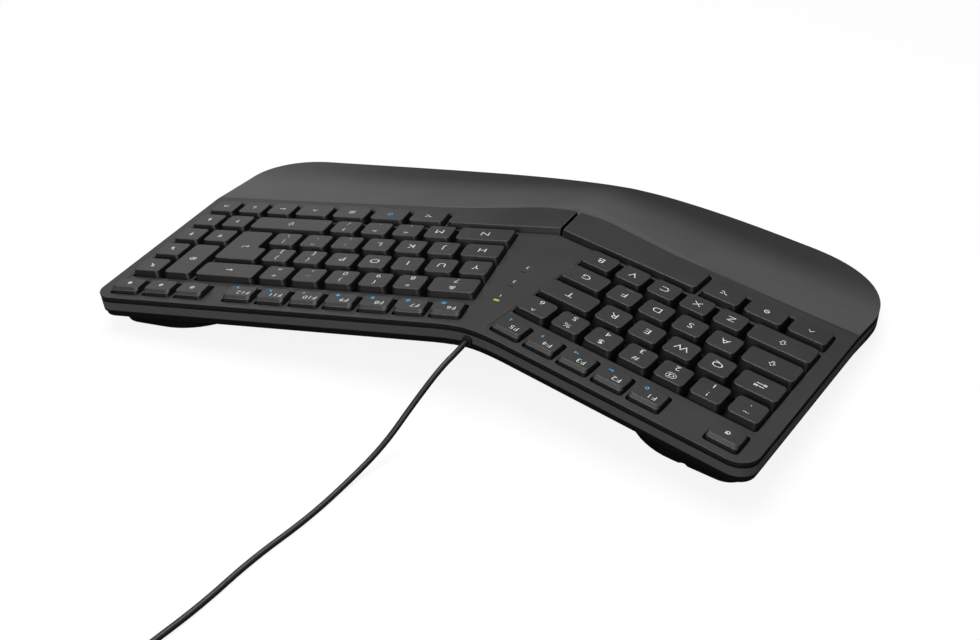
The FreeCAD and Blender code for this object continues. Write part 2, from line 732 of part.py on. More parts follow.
# Controller board, in a frame on the ridge line: its deck lies at -DECK_DROP there

RIDGE_RISE = math.degrees(math.atan((deck_height(0, 100) - deck_height(0, 0)) / 100))
RIDGE = Placement(Vector(0, 0, deck_height(0, 0) + DECK_DROP), Rotation(Vector(1, 0, 0), RIDGE_RISE))


def on_ridge(shape):
    placed = shape.copy()
    placed.Placement = RIDGE.multiply(placed.Placement)
    return placed


BOARD_POSTS = ((0.0, BOARD_FRONT + 5.0), (0.0, (LAMP_Y[1] + LAMP_Y[2]) / 2))
LENS_SEAT = -DECK_DROP - SKIN - LENS_GAP


def controller_board():
    corners = [(-BOARD_FRONT_HALF, BOARD_FRONT), (BOARD_FRONT_HALF, BOARD_FRONT),
               (BOARD_REAR_HALF, BOARD_REAR), (-BOARD_REAR_HALF, BOARD_REAR)]
    board = slab(corners, [1.0] * 4, BOARD_TOP - BOARD, BOARD_TOP)
    y = BOARD_FRONT + 16.0
    half = CHIP_SIZE / 2
    solids = [board, box(-half, half, y - half, y + half, BOARD_TOP, BOARD_TOP + CHIP_HEIGHT)]
    for y in LAMP_Y:
        half = LAMP_SIZE / 2
        solids.append(box(LAMP_X - half, LAMP_X + half, y - half, y + half, BOARD_TOP, BOARD_TOP + LAMP_HEIGHT))
    solids = [on_ridge(solid) for solid in solids]
    for side in (1, -1):
        x0, x1 = sorted((side * CONNECTOR_X[0], side * CONNECTOR_X[1]))
        low = -DECK_DROP - CASE_FLOOR_DROP + CONNECTOR_LIFT
        block = on_ridge(box(x0, x1, TAIL_Y - TAIL_WIDTH / 2 + 1, TAIL_Y + TAIL_WIDTH / 2 - 1, low, BOARD_TOP - BOARD))
        reach = -LAYER_INNER + TAIL_LENGTH + 1
        x0, x1 = sorted((side * -reach, side * 5))
        slot = place(box(x0, x1, TAIL_Y - TAIL_WIDTH, TAIL_Y + TAIL_WIDTH, -30, SHEETS_TOP + STACK_GAP), side)
        solids.append(block.cut(slot))
    return Part.makeCompound(solids)


def lens(y, margin=0.0):
    """Window over one lamp, with a flange under the deck."""
    half_x, half_y = LENS_LENGTH / 2 + margin, LENS_WIDTH / 2 + margin
    window = rectangle(LAMP_X - half_x, LAMP_X + half_x, y - half_y, y + half_y)
    stem_part = slab(window, [half_y * 0.95] * 4, LENS_SEAT, -DECK_DROP + margin * 10)
    return stem_part, inset_polygon(window, -LENS_FLANGE, -LENS_FLANGE, -LENS_FLANGE)


def status_lenses():
    lenses = []
    for y in LAMP_Y:
        window, wide = lens(y)
        flange = slab(wide, [1.0] * 4, LENS_SEAT - LENS_FLANGE_HEIGHT, LENS_SEAT)
        lenses.append(on_ridge(window.fuse(flange).removeSplitter()))
    return Part.makeCompound(lenses)


# Pods and folding feet

def pod_extent(side):
    """Inner end, outer end, front and rear of a pod in its field."""
    return [units * UNIT for units in (POD_RIGHT if side == 1 else POD_LEFT)]


def pod(side, inset, low, high):
    """Upright block of a pod, drawn in by a distance."""
    inner, outer, front, rear = pod_extent(side)
    corners = [(inner, front), (outer, front), (outer, rear), (inner, rear)]
    radii = [POD_CORNER, POD_CORNER, POD_CORNER, POD_INNER_CORNER]
    if side == -1:
        corners, radii = corners[::-1], radii[::-1]
    world = [to_world(side, x, y, -DECK_DROP) for x, y in corners]
    points = inset_polygon([(p.x, p.y) for p in world], inset, inset, inset)
    return slab(points, [radius - inset for radius in radii], low, high)


def pod_middle(side):
    """Where a pod's foot and pad sit along its row axis."""
    return pod_extent(side)[1] - side * FOOT_FROM_SIDE


def foot_frame(side):
    """Frame of a folding foot: x along its hinge, +y to the rear, z up from the underside."""
    hinge = to_world(side, pod_middle(side), pod_extent(side)[3], -DECK_DROP)
    turn = Rotation(Z_AXIS, side * YAW)
    back = turn.multVec(Vector(0, -FOOT_FROM_REAR, 0))
    return Placement(Vector(hinge.x + back.x, hinge.y + back.y, UNDERSIDE_HEIGHT), turn)


HINGE_HEIGHT = FOOT_HEIGHT / 2 + 0.2


def flip_foot(side):
    """Folded foot: a plate that hangs from two pins at its rear edge."""
    half = FOOT_WIDTH / 2
    radius = FOOT_HEIGHT / 2
    barrel = Part.makeCylinder(radius, FOOT_WIDTH, Vector(-half, 0, HINGE_HEIGHT), Vector(1, 0, 0))
    plate = box(-half, half, -FOOT_LENGTH, 0, HINGE_HEIGHT - radius, HINGE_HEIGHT + radius)
    finger = Part.makeCylinder(3.2, 14.0, Vector(-7.0, -FOOT_LENGTH, HINGE_HEIGHT - radius), Vector(1, 0, 0))
    pin = Part.makeCylinder(FOOT_PIN, FOOT_WIDTH + 2 * FOOT_PIN_REACH,
                            Vector(-half - FOOT_PIN_REACH, 0, HINGE_HEIGHT), Vector(1, 0, 0))
    foot = fuse([barrel, plate, pin]).cut(finger)
    foot.Placement = foot_frame(side)
    return foot


def foot_pocket(side, wall):
    """Space for a foot, grown by a wall for the lower case's housing."""
    half = FOOT_WIDTH / 2 + FOOT_GAP + wall
    rear = FOOT_HEIGHT / 2 + FOOT_GAP + wall
    top = HINGE_HEIGHT + FOOT_HEIGHT / 2 + FOOT_GAP + wall
    pocket = box(-half, half, -FOOT_LENGTH - 3.0 - FOOT_GAP - wall, rear, -5.0 if wall == 0 else 0.0, top)
    pocket.Placement = foot_frame(side)
    return pocket


def foot_pin_hole(side):
    reach = FOOT_WIDTH / 2 + FOOT_PIN_REACH + FOOT_GAP
    hole = Part.makeCylinder(FOOT_PIN + 0.1, 2 * reach, Vector(-reach, 0, HINGE_HEIGHT), Vector(1, 0, 0))
    hole.Placement = foot_frame(side)
    return hole


def pads():
    """Rubber pads: position, turn. Three along the front, one at the front of each pod."""
    places = []
    for x in FRONT_PAD_X:
        slope = (front_y(x + 5) - front_y(x - 5)) / 10
        places.append((x, front_y(x) + FRONT_PAD_INSET + PAD_WIDTH / 2, math.degrees(math.atan(slope))))
    for side in (1, -1):
        spot = to_world(side, pod_middle(side), pod_extent(side)[2] + POD_PAD_INSET, -DECK_DROP)
        places.append((spot.x, spot.y, side * YAW))
    return places


def rubber_feet():
    solids = []
    for x, y, turn in pads():
        outline = rectangle(-PAD_LENGTH / 2, PAD_LENGTH / 2, -PAD_WIDTH / 2, PAD_WIDTH / 2)
        pad = slab(outline, [PAD_WIDTH / 2 - 0.2] * 4, 0, UNDERSIDE_HEIGHT)
        pad.Placement = Placement(Vector(x, y, 0), Rotation(Z_AXIS, turn))
        solids.append(pad)
    return Part.makeCompound(solids)


# Case

def rear_face_y():
    line = Part.makeLine(Vector(GROMMET_X, 0, 0), Vector(GROMMET_X, 200, 0))
    return OUTLINE.common(line).BoundBox.YMax


REAR_FACE_Y = rear_face_y()
GROMMET_INSIDE = CASE_WALL + GROMMET_COLLAR_LENGTH


def rear_cylinder(radius, start, end):
    """Cylinder along the cable's way out, between two distances behind the case's rear face."""
    return Part.makeCylinder(radius, end - start, Vector(GROMMET_X, REAR_FACE_Y + start, GROMMET_Z), Vector(0, 1, 0))


def cable_grommet():
    sleeve = rear_cylinder(CABLE / 2 + GROMMET_WALL, -GROMMET_INSIDE, GROMMET_PROUD)
    collar = rear_cylinder(GROMMET_COLLAR, -GROMMET_INSIDE, -CASE_WALL - 0.1)
    bore = rear_cylinder(CABLE / 2 + GROMMET_BORE_GAP, -GROMMET_INSIDE - 1, GROMMET_PROUD + 1)
    return sleeve.fuse(collar).cut(bore).removeSplitter()


def top_case():
    shell = plan(0).common(roof(0)).cut(roof(BAND_TOP_DROP))
    groove = plan(-5).cut(plan(SEAM_DEPTH)).common(roof(LIP))
    shell = cut(shell, [groove, plan(CASE_WALL).common(roof(SKIN))])
    ribs, holes = [], []
    blocks = [(side, inset_polygon(points, 0, 0, -RIB_REACH)) for side, points in function_blocks()]
    for side, points in opening_groups() + blocks:
        ribs.append(opening(side, points, KEY_OPENING_GAP + RIB, PLATE_TOP + STACK_GAP, -DECK_DROP - SKIN / 2))
    for side, points in opening_groups() + function_openings():
        holes.append(opening(side, points, KEY_OPENING_GAP, PLATE_TOP - 5, 10))
    inside = plan(CASE_WALL + PART_GAP)
    bosses = []
    for x, y, surface in SCREWS:
        bosses.append(cylinder(x, y, BOSS_RADIUS, post_top(surface), surface - SKIN / 2))
    for x, y in BOARD_POSTS:
        bosses.append(on_ridge(cylinder(x, y, POST_RADIUS, BOARD_TOP + STACK_GAP, LENS_SEAT + SKIN / 2)))
    walls = Part.makeCompound(ribs).common(inside)
    shell = shell.multiFuse(walls.Solids + bosses)
    holes += [cylinder(x, y, SCREW_RADIUS, 0, post_top(surface) + SCREW_GRIP + 0.5) for x, y, surface in SCREWS]
    holes += [on_ridge(lens(y, 0.1)[0]) for y in LAMP_Y]
    return cut(shell, holes + recesses())


def bottom_case():
    band = plan(0).common(roof(BAND_TOP_DROP)).cut(roof(BAND_BOTTOM_DROP))
    belly = plan(BELLY_INSET).common(roof(BAND_BOTTOM_DROP - 1)).cut(roof(BELLY_DROP))
    above_desk = Part.makeBox(2 * HUGE, 2 * HUGE, HUGE, Vector(-HUGE, -HUGE, UNDERSIDE_HEIGHT))
    pods = [pod(side, 0, UNDERSIDE_HEIGHT, 60).common(roof(BAND_BOTTOM_DROP)) for side in (1, -1)]
    shell = band.multiFuse([belly] + pods).common(above_desk)
    room = plan(CASE_WALL, UNDERSIDE_HEIGHT + FLOOR_WALL).cut(roof(CASE_FLOOR_DROP))
    hollows = [pod(side, POD_WALL, UNDERSIDE_HEIGHT + FLOOR_WALL, 60) for side in (1, -1)]
    shell = cut(shell, [room] + hollows)
    inserts = []
    for side in (1, -1):
        inner_end, outer_end, front, rear = pod_extent(side)
        middle = pod_middle(side)
        rib = box(middle - POD_RIB / 2, middle + POD_RIB / 2, front, rear, -60, 0)
        x0, x1 = sorted((inner_end, outer_end))
        across = box(x0, x1, 3 * UNIT, 3 * UNIT + POD_RIB, -60, 0)
        inner = pod(side, POD_WALL / 2, UNDERSIDE_HEIGHT + FLOOR_WALL / 2, 60).common(roof(CASE_FLOOR_DROP))
        inserts.append(place(rib.fuse(across), side).common(inner))
        inserts.append(foot_pocket(side, FOOT_POCKET_WALL).common(pod(side, POD_WALL / 2, UNDERSIDE_HEIGHT, 60)))
    for x, y, surface in SCREWS:
        seat = post_top(surface)
        radius = SCREW_HEAD_RADIUS + PART_GAP + POST_WALL
        inserts.append(cylinder(x, y, radius, surface - BELLY_DROP + 0.5, seat))
    for x, y in BOARD_POSTS:
        low = -DECK_DROP - CASE_FLOOR_DROP - FLOOR_WALL / 2
        inserts.append(on_ridge(cylinder(x, y, POST_RADIUS, low, BOARD_TOP - BOARD)))
    solids = [solid for piece in inserts for solid in piece.Solids]
    shell = shell.multiFuse(solids)
    tools = [foot_pocket(side, 0) for side in (1, -1)] + [foot_pin_hole(side) for side in (1, -1)]
    for x, y, surface in SCREWS:
        seat = post_top(surface) - SCREW_SEAT
        tools.append(cylinder(x, y, SCREW_HEAD_RADIUS + PART_GAP, -5, seat))
        tools.append(cylinder(x, y, SCREW_RADIUS + PART_GAP, -5, seat + 20))
    for side, points in opening_groups() + function_blocks():
        tools.append(opening(side, points, KEY_OPENING_GAP, PLATE_TOP - PART_GAP, 10))
    tools.append(rear_cylinder(CABLE / 2 + GROMMET_WALL, -GROMMET_INSIDE - 4, 10))
    return cut(shell, tools)


# Layers under the keys

def layer(side, low, high):
    """One flat layer of a field, with holes where the rear screws' posts pass."""
    span = RIGHT_SPAN if side == 1 else LEFT_SPAN
    rear = FUNCTION_REAR * UNIT + REAR_BORDER - CASE_WALL - LAYER_REAR_GAP
    x0, x1 = sorted((side * LAYER_INNER, side * (span * UNIT + LAYER_OUTER)))
    flat = box(x0, x1, LAYER_FRONT, rear, low, high)
    holes = []
    for x, y, surface in SCREWS:
        hole = cylinder(x, y, SCREW_HEAD_RADIUS + PART_GAP + POST_WALL + 0.5, 0, 60)
        hole.Placement = FIELD[side].inverse()
        if flat.distToShape(hole)[0] < 0.01:
            holes.append(hole)
    return cut(flat, holes) if holes else flat


def field_stems(side):
    """Every stem of one field: x, y and whether it has a dome."""
    spots = []
    for node, key_side, cell, kind in KEYS:
        if key_side == side:
            main, guides = stem_spots(side, cell, kind)
            spots.append((main[0], main[1], True))
            spots += [(x, y, False) for x, y in guides]
    return spots


def key_plate(side):
    inner = STEM / 2 + GUIDE_CLEARANCE
    outer = inner + GUIDE_WALL
    spots = field_stems(side)
    guides = [box(x - outer, x + outer, y - outer, y + outer, PLATE_TOP - GUIDE_PLATE / 2, PLATE_TOP + GUIDE_RISE)
              for x, y, dome in spots]
    holes = [box(x - inner, x + inner, y - inner, y + inner, MAT_TOP - 1, PLATE_TOP + GUIDE_RISE + 1)
             for x, y, dome in spots]
    plate = layer(side, MAT_TOP, PLATE_TOP).multiFuse(guides)
    return place(cut(plate, holes), side)


def cone(x, y, low_radius, high_radius, low, high):
    return Part.makeCone(low_radius, high_radius, high - low, Vector(x, y, low))


def dome_mat(side):
    domes, hollows = [], []
    for x, y, dome in field_stems(side):
        if dome:
            base, top = DOME_BASE / 2, DOME_TOP / 2
            domes.append(cone(x, y, base, top, MAT_TOP - MAT / 2, DOME_ROOF + DOME_WALL))
            hollows.append(cone(x, y, base - DOME_WALL, top - DOME_WALL, SHEETS_TOP, DOME_ROOF))
    return place(cut(layer(side, SHEETS_TOP, MAT_TOP).multiFuse(domes), hollows), side)


def circuit_sheet(side, number, holed=False):
    """Sheets are counted from the top and share a tail that runs under the controller board."""
    high = SHEETS_TOP - (number - 1) * SHEET
    x0, x1 = sorted((side * (LAYER_INNER - TAIL_LENGTH), side * (LAYER_INNER + 1)))
    tail = box(x0, x1, TAIL_Y - TAIL_WIDTH / 2, TAIL_Y + TAIL_WIDTH / 2, high - SHEET, high)
    sheet = layer(side, high - SHEET, high).fuse(tail).removeSplitter()
    if holed:
        holes = [cylinder(x, y, CONTACT_HOLE / 2, high - 1, high + 1) for x, y, dome in field_stems(side) if dome]
        sheet = cut(sheet, holes)
    return place(sheet, side)


def both_sides(make, *arguments):
    return Part.makeCompound([make(side, *arguments) for side in (-1, 1)])


def backing_plate(side):
    return place(layer(side, STACK_BOTTOM, BACKING_TOP), side)


# Cable, coil, tie and plug

def tube(path, start, direction):
    """Round tube of the cable's size along a path."""
    circle = Part.Wire(Part.makeCircle(CABLE / 2, start, direction))
    return path.makePipeShell([circle], True, False)


def route_path(points):
    """Straight runs joined by arcs as large as the runs allow. Prints the arcs' radii."""
    edges, radii, here = [], [], points[0]
    for i in range(1, len(points) - 1):
        back, ahead = points[i - 1] - points[i], points[i + 1] - points[i]
        reach = 0.45 * min(back.Length, ahead.Length)
        half = back.getAngle(ahead) / 2
        radius = reach * math.tan(half)
        radii.append(round(radius))
        first, last = points[i] + back.normalize() * reach, points[i] + ahead.normalize() * reach
        bisector = (back + ahead).normalize()
        middle = points[i] + bisector * (reach / math.cos(half) - radius)
        edges.append(Part.LineSegment(here, first).toShape())
        edges.append(Part.Arc(first, middle, last).toShape())
        here = last
    edges.append(Part.LineSegment(here, points[-1]).toShape())
    print("cable radii", radii)
    return Part.Wire(edges)


ROUTE = [Vector(*point) for point in CABLE_ROUTE]


def usb_cable():
    path = route_path(ROUTE)
    solid = tube(path, ROUTE[0], ROUTE[1] - ROUTE[0])
    print("cable length", round(path.Length, 1), "volume ratio",
          round(solid.Volume / (math.pi * CABLE ** 2 / 4 * path.Length), 4))
    return solid


COIL_STEP = CABLE + COIL_GAP
COIL_TURNING = COIL_LAYERS * COIL_QUARTERS
COIL_REACH = COIL_STEP * COIL_QUARTERS / 8
PLUG_RISE = CABLE / 2 + PLUG_HEIGHT / 2 + 0.1


def coil_station(quarter):
    """Point of the coil's line, flat about its own middle: the spiral turns back and climbs between layers."""
    layers, part = divmod(quarter, COIL_QUARTERS)
    part = part / COIL_QUARTERS
    inwards = COIL_MIDDLE + COIL_REACH - 2 * COIL_REACH * part
    radius = inwards if layers % 2 == 0 else 2 * COIL_MIDDLE - inwards
    height = 0.0
    for k in range(1, COIL_LAYERS):
        height += COIL_STEP * min(max((quarter - k * COIL_QUARTERS + 1) / 2, 0), 1)
    beyond = quarter - COIL_TURNING
    if beyond > 0:
        outer = COIL_MIDDLE + COIL_REACH
        radius = (outer + COIL_STEP / 4, outer, COIL_TAIL_RADIUS, COIL_TAIL_RADIUS)[beyond - 1]
        height += PLUG_RISE * (0, 0.5, 1, 1)[beyond - 1]
    angle = math.radians(90 * quarter)
    return Vector(radius * math.cos(angle), radius * math.sin(angle), height)


def coil_tangent(quarter, last):
    """Direction there: along the turn, with the spiral's and the climb's slopes between its neighbours."""
    here = coil_station(quarter)
    before, after = coil_station(max(quarter - 1, 0)), coil_station(min(quarter + 1, last))
    steps = min(quarter + 1, last) - max(quarter - 1, 0)
    flat = math.hypot(here.x, here.y)
    outward = Vector(here.x, here.y, 0) * (1 / flat)
    along = Vector(-outward.y, outward.x, 0) * (flat * math.pi / 2)
    growth = (math.hypot(after.x, after.y) - math.hypot(before.x, before.y)) / steps
    climb = (after.z - before.z) / steps if 0 < quarter < last else 0.0
    return (along + outward * growth + Vector(0, 0, climb)).normalize()


def biarc(start, start_way, end, end_way):
    """Two arcs that join two points with given directions."""
    chord, ways = end - start, start_way + end_way
    spread = 2 * (1 - start_way.dot(end_way))
    reach = (-chord.dot(ways) + math.sqrt(chord.dot(ways) ** 2 + spread * chord.dot(chord))) / spread
    joint = (start + end + (start_way - end_way) * reach) * 0.5
    return [arc_from(start, start_way, joint), arc_from(end, -end_way, joint)]


def arc_from(start, way, end):
    chord = end - start
    normal = way.cross(chord).normalize()
    inward = normal.cross(way)
    radius = chord.dot(chord) / (2 * inward.dot(chord))
    centre = start + inward * radius
    middle = (start + end) * 0.5 - centre
    return Part.Arc(start, centre + middle.normalize() * abs(radius), end).toShape()


def coil_frame():
    """The coil's first direction meets the cable's last one."""
    way = ROUTE[-1] - ROUTE[-2]
    first = coil_tangent(0, COIL_TURNING + 4)
    turn = math.degrees(math.atan2(way.y, way.x) - math.atan2(first.y, first.x))
    rotation = Rotation(Z_AXIS, turn)
    return Placement(ROUTE[-1] - rotation.multVec(coil_station(0)), rotation)


COIL_FRAME = coil_frame()


def coil_path():
    last = COIL_TURNING + 4
    edges = []
    for quarter in range(last):
        arcs = biarc(coil_station(quarter), coil_tangent(quarter, last),
                     coil_station(quarter + 1), coil_tangent(quarter + 1, last))
        edges += arcs
    end = coil_station(last)
    edges.append(Part.LineSegment(end, end + coil_tangent(last, last) * CABLE).toShape())
    return Part.Wire(edges)


def coil_self_gap(path):
    """Least distance between turns of the coil's line, less the cable's thickness."""
    points = path.discretize(Distance=1.0)
    skip = round(0.4 * 2 * math.pi * (COIL_MIDDLE - COIL_REACH))
    least = min((points[i] - points[j]).Length
                for i in range(0, len(points), 2) for j in range(i + skip, len(points)))
    return least - CABLE


def usb_cable_coil():
    path = coil_path()
    start = coil_station(0)
    solid = tube(path, start, coil_tangent(0, COIL_TURNING + 4))
    print("coil length", round(path.Length, 1), "least gap", round(coil_self_gap(path), 2),
          "volume ratio", round(solid.Volume / (math.pi * CABLE ** 2 / 4 * path.Length), 4))
    solid.Placement = COIL_FRAME
    return solid


def cable_tie():
    """Flat tie round the coil's turns, closed in a small head on the inside."""
    inner, outer = COIL_MIDDLE - COIL_REACH - CABLE / 2 - TIE_GAP, COIL_MIDDLE + COIL_REACH + CABLE / 2 + TIE_GAP
    top = (COIL_LAYERS - 1) * COIL_STEP + CABLE / 2 + 0.1
    low = -CABLE / 2 - 0.1
    hole = slab(rectangle(inner, outer, low, top), [1.6] * 4, 0, TIE_WIDTH)
    around = rectangle(inner - TIE_WALL, outer + TIE_WALL, low - TIE_WALL, top + TIE_WALL)
    ring = slab(around, [2.4] * 4, 0, TIE_WIDTH)
    head = slab(rectangle(inner - TIE_HEAD, inner - TIE_WALL / 2, top / 2 - 2, top / 2 + 2), [0.6] * 4, 0, TIE_WIDTH)
    band = ring.cut(hole).fuse(head).removeSplitter()
    band.Placement = Placement(Vector(0, TIE_WIDTH / 2, 0), Rotation(Vector(1, 0, 0), 90))
    band.Placement = Placement(Vector(0, 0, 0), Rotation(Z_AXIS, TIE_ANGLE)).multiply(band.Placement)
    band.Placement = COIL_FRAME.multiply(band.Placement)
    return band


def plug_frame():
    """x across the plug and y out of it, from the coil's end."""
    last = COIL_TURNING + 4
    end, way = coil_station(last), coil_tangent(last, last)
    turn = math.degrees(math.atan2(way.y, way.x)) - 90
    return COIL_FRAME.multiply(Placement(end + way * CABLE, Rotation(Z_AXIS, turn)))


def plug_block(width, height, corner, start, length):
    """Block along the plug with rounded long edges."""
    outline = rectangle(-width / 2, width / 2, -height / 2, height / 2)
    block = slab(outline, [corner] * 4, 0, length)
    block.Placement = Placement(Vector(0, start + length, 0), Rotation(Vector(1, 0, 0), 90))
    return block


def in_plug_frame(shape):
    placed = shape.copy()
    placed.Placement = plug_frame().multiply(placed.Placement)
    return placed


def usb_plug_body():
    relief = Part.makeCylinder(RELIEF_RADIUS, RELIEF_LENGTH + 1, Vector(0, 0, 0), Vector(0, 1, 0))
    grip = plug_block(PLUG_WIDTH, PLUG_HEIGHT, PLUG_CORNER, RELIEF_LENGTH, PLUG_LENGTH)
    start = RELIEF_LENGTH + PLUG_LENGTH
    wall = PLUG_SHELL_WALL
    tongue = plug_block(PLUG_SHELL_WIDTH - 2 * wall - 0.1, PLUG_TONGUE, 0.1, start - 1, PLUG_SHELL_LENGTH - 0.5)
    lift = (PLUG_SHELL_HEIGHT - 2 * wall - PLUG_TONGUE) / 2 - 0.05
    tongue.translate(Vector(0, 0, lift))
    return in_plug_frame(relief.multiFuse([grip, tongue]).removeSplitter())


def usb_plug_shell():
    start, wall = RELIEF_LENGTH + PLUG_LENGTH, PLUG_SHELL_WALL
    outer = plug_block(PLUG_SHELL_WIDTH, PLUG_SHELL_HEIGHT, 0.6, start, PLUG_SHELL_LENGTH)
    inner = plug_block(PLUG_SHELL_WIDTH - 2 * wall, PLUG_SHELL_HEIGHT - 2 * wall, 0.3, start - 1, PLUG_SHELL_LENGTH + 2)
    windows = []
    for side in (1, -1):
        x = side * PLUG_SHELL_WIDTH / 4
        windows.append(box(x - 1.2, x + 1.2, start + 5.5, start + 7.7, 0, PLUG_SHELL_HEIGHT))
    return in_plug_frame(cut(outer, [inner] + windows))


def case_screws():
    return Part.makeCompound([screw(x, y, surface) for x, y, surface in SCREWS])


def all_nodes():
    nodes = {
        "top_case": top_case(),
        "bottom_case": bottom_case(),
        "key_plate_left": key_plate(-1),
        "key_plate_right": key_plate(1),
        "dome_mat_left": dome_mat(-1),
        "dome_mat_right": dome_mat(1),
        "circuit_sheet_upper": both_sides(circuit_sheet, 1),
        "circuit_spacer_sheet": both_sides(circuit_sheet, 2, True),
        "circuit_sheet_lower": both_sides(circuit_sheet, 3),
        "backing_plates": both_sides(backing_plate),
        "controller_board": controller_board(),
        "status_lenses": status_lenses(),
        "cable_grommet": cable_grommet(),
        "usb_cable": usb_cable(),
        "usb_cable_coil": usb_cable_coil(),
        "cable_tie": cable_tie(),
        "usb_plug_body": usb_plug_body(),
        "usb_plug_shell": usb_plug_shell(),
        "rubber_feet": rubber_feet(),
        "flip_foot_left": flip_foot(-1),
        "flip_foot_right": flip_foot(1),
        "case_screws": case_screws(),
    }
    for node, caps in key_nodes().items():
        nodes[node] = Part.makeCompound(caps)
    return nodes


def main():
    """Write every node, with the origin under the middle of the case."""
    middle = OUTLINE.BoundBox.Center
    os.makedirs("parts", exist_ok=True)
    for node, shape in all_nodes().items():
        solids = shape.Solids
        placed = shape.translated(Vector(-middle.x, -middle.y, 0))
        single = placed.Solids[0] if len(solids) == 1 else placed
        single.exportStep("parts/" + node + ".step")
        print(node, len(solids), "solid" if shape.isValid() else "NOT VALID", round(shape.Volume))


if __name__ == "__main__":
    main()
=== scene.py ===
import json
import math

import bmesh
import bpy
from mathutils import Matrix, Vector


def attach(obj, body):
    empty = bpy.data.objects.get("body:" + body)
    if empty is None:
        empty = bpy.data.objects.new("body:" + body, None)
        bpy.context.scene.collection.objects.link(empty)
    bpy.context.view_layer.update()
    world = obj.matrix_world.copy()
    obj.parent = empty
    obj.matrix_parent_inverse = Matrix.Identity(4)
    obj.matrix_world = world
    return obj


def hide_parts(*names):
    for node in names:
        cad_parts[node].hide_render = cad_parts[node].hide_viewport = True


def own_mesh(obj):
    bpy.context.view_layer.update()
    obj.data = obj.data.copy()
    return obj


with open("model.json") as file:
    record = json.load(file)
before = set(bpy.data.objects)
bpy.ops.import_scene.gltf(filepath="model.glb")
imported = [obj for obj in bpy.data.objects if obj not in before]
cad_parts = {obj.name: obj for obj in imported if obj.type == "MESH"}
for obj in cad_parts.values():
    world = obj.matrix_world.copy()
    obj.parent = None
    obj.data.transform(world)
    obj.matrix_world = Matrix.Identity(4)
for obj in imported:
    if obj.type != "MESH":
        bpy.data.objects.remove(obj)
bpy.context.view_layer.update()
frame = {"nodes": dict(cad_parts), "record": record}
NODES = frame["nodes"]

# Wired split keyboard with a palm rest, in metres. The user sits on the -Y side, the camera looks from behind.
# The key fields' frames and the cable's route repeat the part's own, less the middle of its plan.
MM = 0.001
UNIT = 19.05 * MM           # key pitch
MIDDLE = Vector((31.896, 10.800, 0)) * MM
FIELD_PITCH, FIELD_YAW, FIELD_TENT = (math.radians(angle) for angle in (3.2, 9.5, 5.8))
FIELD_X = 22.1              # mm
KEY_TOPS = 38.0             # mm over the desk
RIDGE_PITCH = math.radians(2.24)
RIDGE_HEIGHT = 39.84        # mm over the desk


def field_frame(side):
    """Frame of a key field: x along the rows from its inner end, y to the rear, z = 0 at the key tops."""
    turn = Matrix.Rotation(FIELD_PITCH, 4, "X") @ Matrix.Rotation(side * FIELD_YAW, 4, "Z")
    turn = turn @ Matrix.Rotation(side * FIELD_TENT, 4, "Y")
    return Matrix.Translation(Vector((side * FIELD_X, 0, KEY_TOPS)) * MM - MIDDLE) @ turn


# The right field is 1, the left one -1
FIELD = {side: field_frame(side) for side in (1, -1)}
RIDGE = Matrix.Translation(Vector((0, 0, RIDGE_HEIGHT)) * MM - MIDDLE) @ Matrix.Rotation(RIDGE_PITCH, 4, "X")


# Camera, at the photograph's place

camera_data = bpy.data.cameras.new("camera")
camera = bpy.data.objects.new("camera", camera_data)
bpy.context.scene.collection.objects.link(camera)
camera.matrix_world = Matrix((
    (-0.9087, 0.2463, -0.3371, -0.23810),
    (-0.4175, -0.5361, 0.7337, 0.43300),
    (0.0, 0.8074, 0.5900, 0.32060),
    (0, 0, 0, 1)))
camera_data.sensor_width = 36
camera_data.lens = 37.45
camera_data.shift_x = -0.0770
camera_data.shift_y = 0.0191
camera_data.clip_start = 0.01
bpy.context.scene.camera = camera


# Cable: out of the rear, down to the desk, behind the camera, then its unseen length in a neat coil

CABLE = 2.8 * MM
ROUTE = [Vector(point) * MM - MIDDLE for point in (
    (-1.0, 100.0, 34.4), (-1.0, 116.5, 34.4), (1.5, 130.0, 32.0), (6.5, 147.0, 22.0), (13.0, 164.5, 8.0),
    (19.0, 186.0, 1.4), (22.0, 212.0, 1.4), (29.0, 240.0, 1.4), (32.0, 268.0, 1.4), (38.0, 295.0, 2.0),
    (40.0, 318.0, 2.3), (40.6, 334.0, 2.3))]
COIL_LAYERS = 4
COIL_QUARTERS = 11          # quarter turns in each layer
COIL_STEP = 3.4 * MM
COIL_MIDDLE = 16.4 * MM
COIL_REACH = COIL_STEP * COIL_QUARTERS / 8
COIL_TAIL = 18.0 * MM
PLUG_RISE = 5.7 * MM
PLUG_INSET = 1.3            # cable diameters that it runs on into the plug
POINTS_PER_QUARTER = 3
CUT_INSIDE = 1.035          # the spline runs this much inside its points


def coil_point(quarter):
    """Point of the coil about its own middle: the turns go in and out, one layer on another."""
    layers, part = divmod(quarter, COIL_QUARTERS)
    outer = COIL_MIDDLE + COIL_REACH
    inwards = outer - 2 * COIL_REACH * part / COIL_QUARTERS
    radius = inwards if layers % 2 == 0 else 2 * COIL_MIDDLE - inwards
    height = sum(COIL_STEP * min(max((quarter - k * COIL_QUARTERS + 1) / 2, 0), 1) for k in range(1, COIL_LAYERS))
    beyond = quarter - COIL_LAYERS * COIL_QUARTERS
    if beyond > 0:
        whole = min(int(beyond), 3)
        radii = (outer, outer + COIL_STEP / 4, outer, COIL_TAIL, COIL_TAIL)
        rises = (0, 0, PLUG_RISE / 2, PLUG_RISE, PLUG_RISE)
        radius = radii[whole] + (radii[whole + 1] - radii[whole]) * (beyond - whole)
        height += rises[whole] + (rises[whole + 1] - rises[whole]) * (beyond - whole)
    angle = math.radians(90 * quarter)
    return Vector((radius * math.cos(angle), radius * math.sin(angle), height))


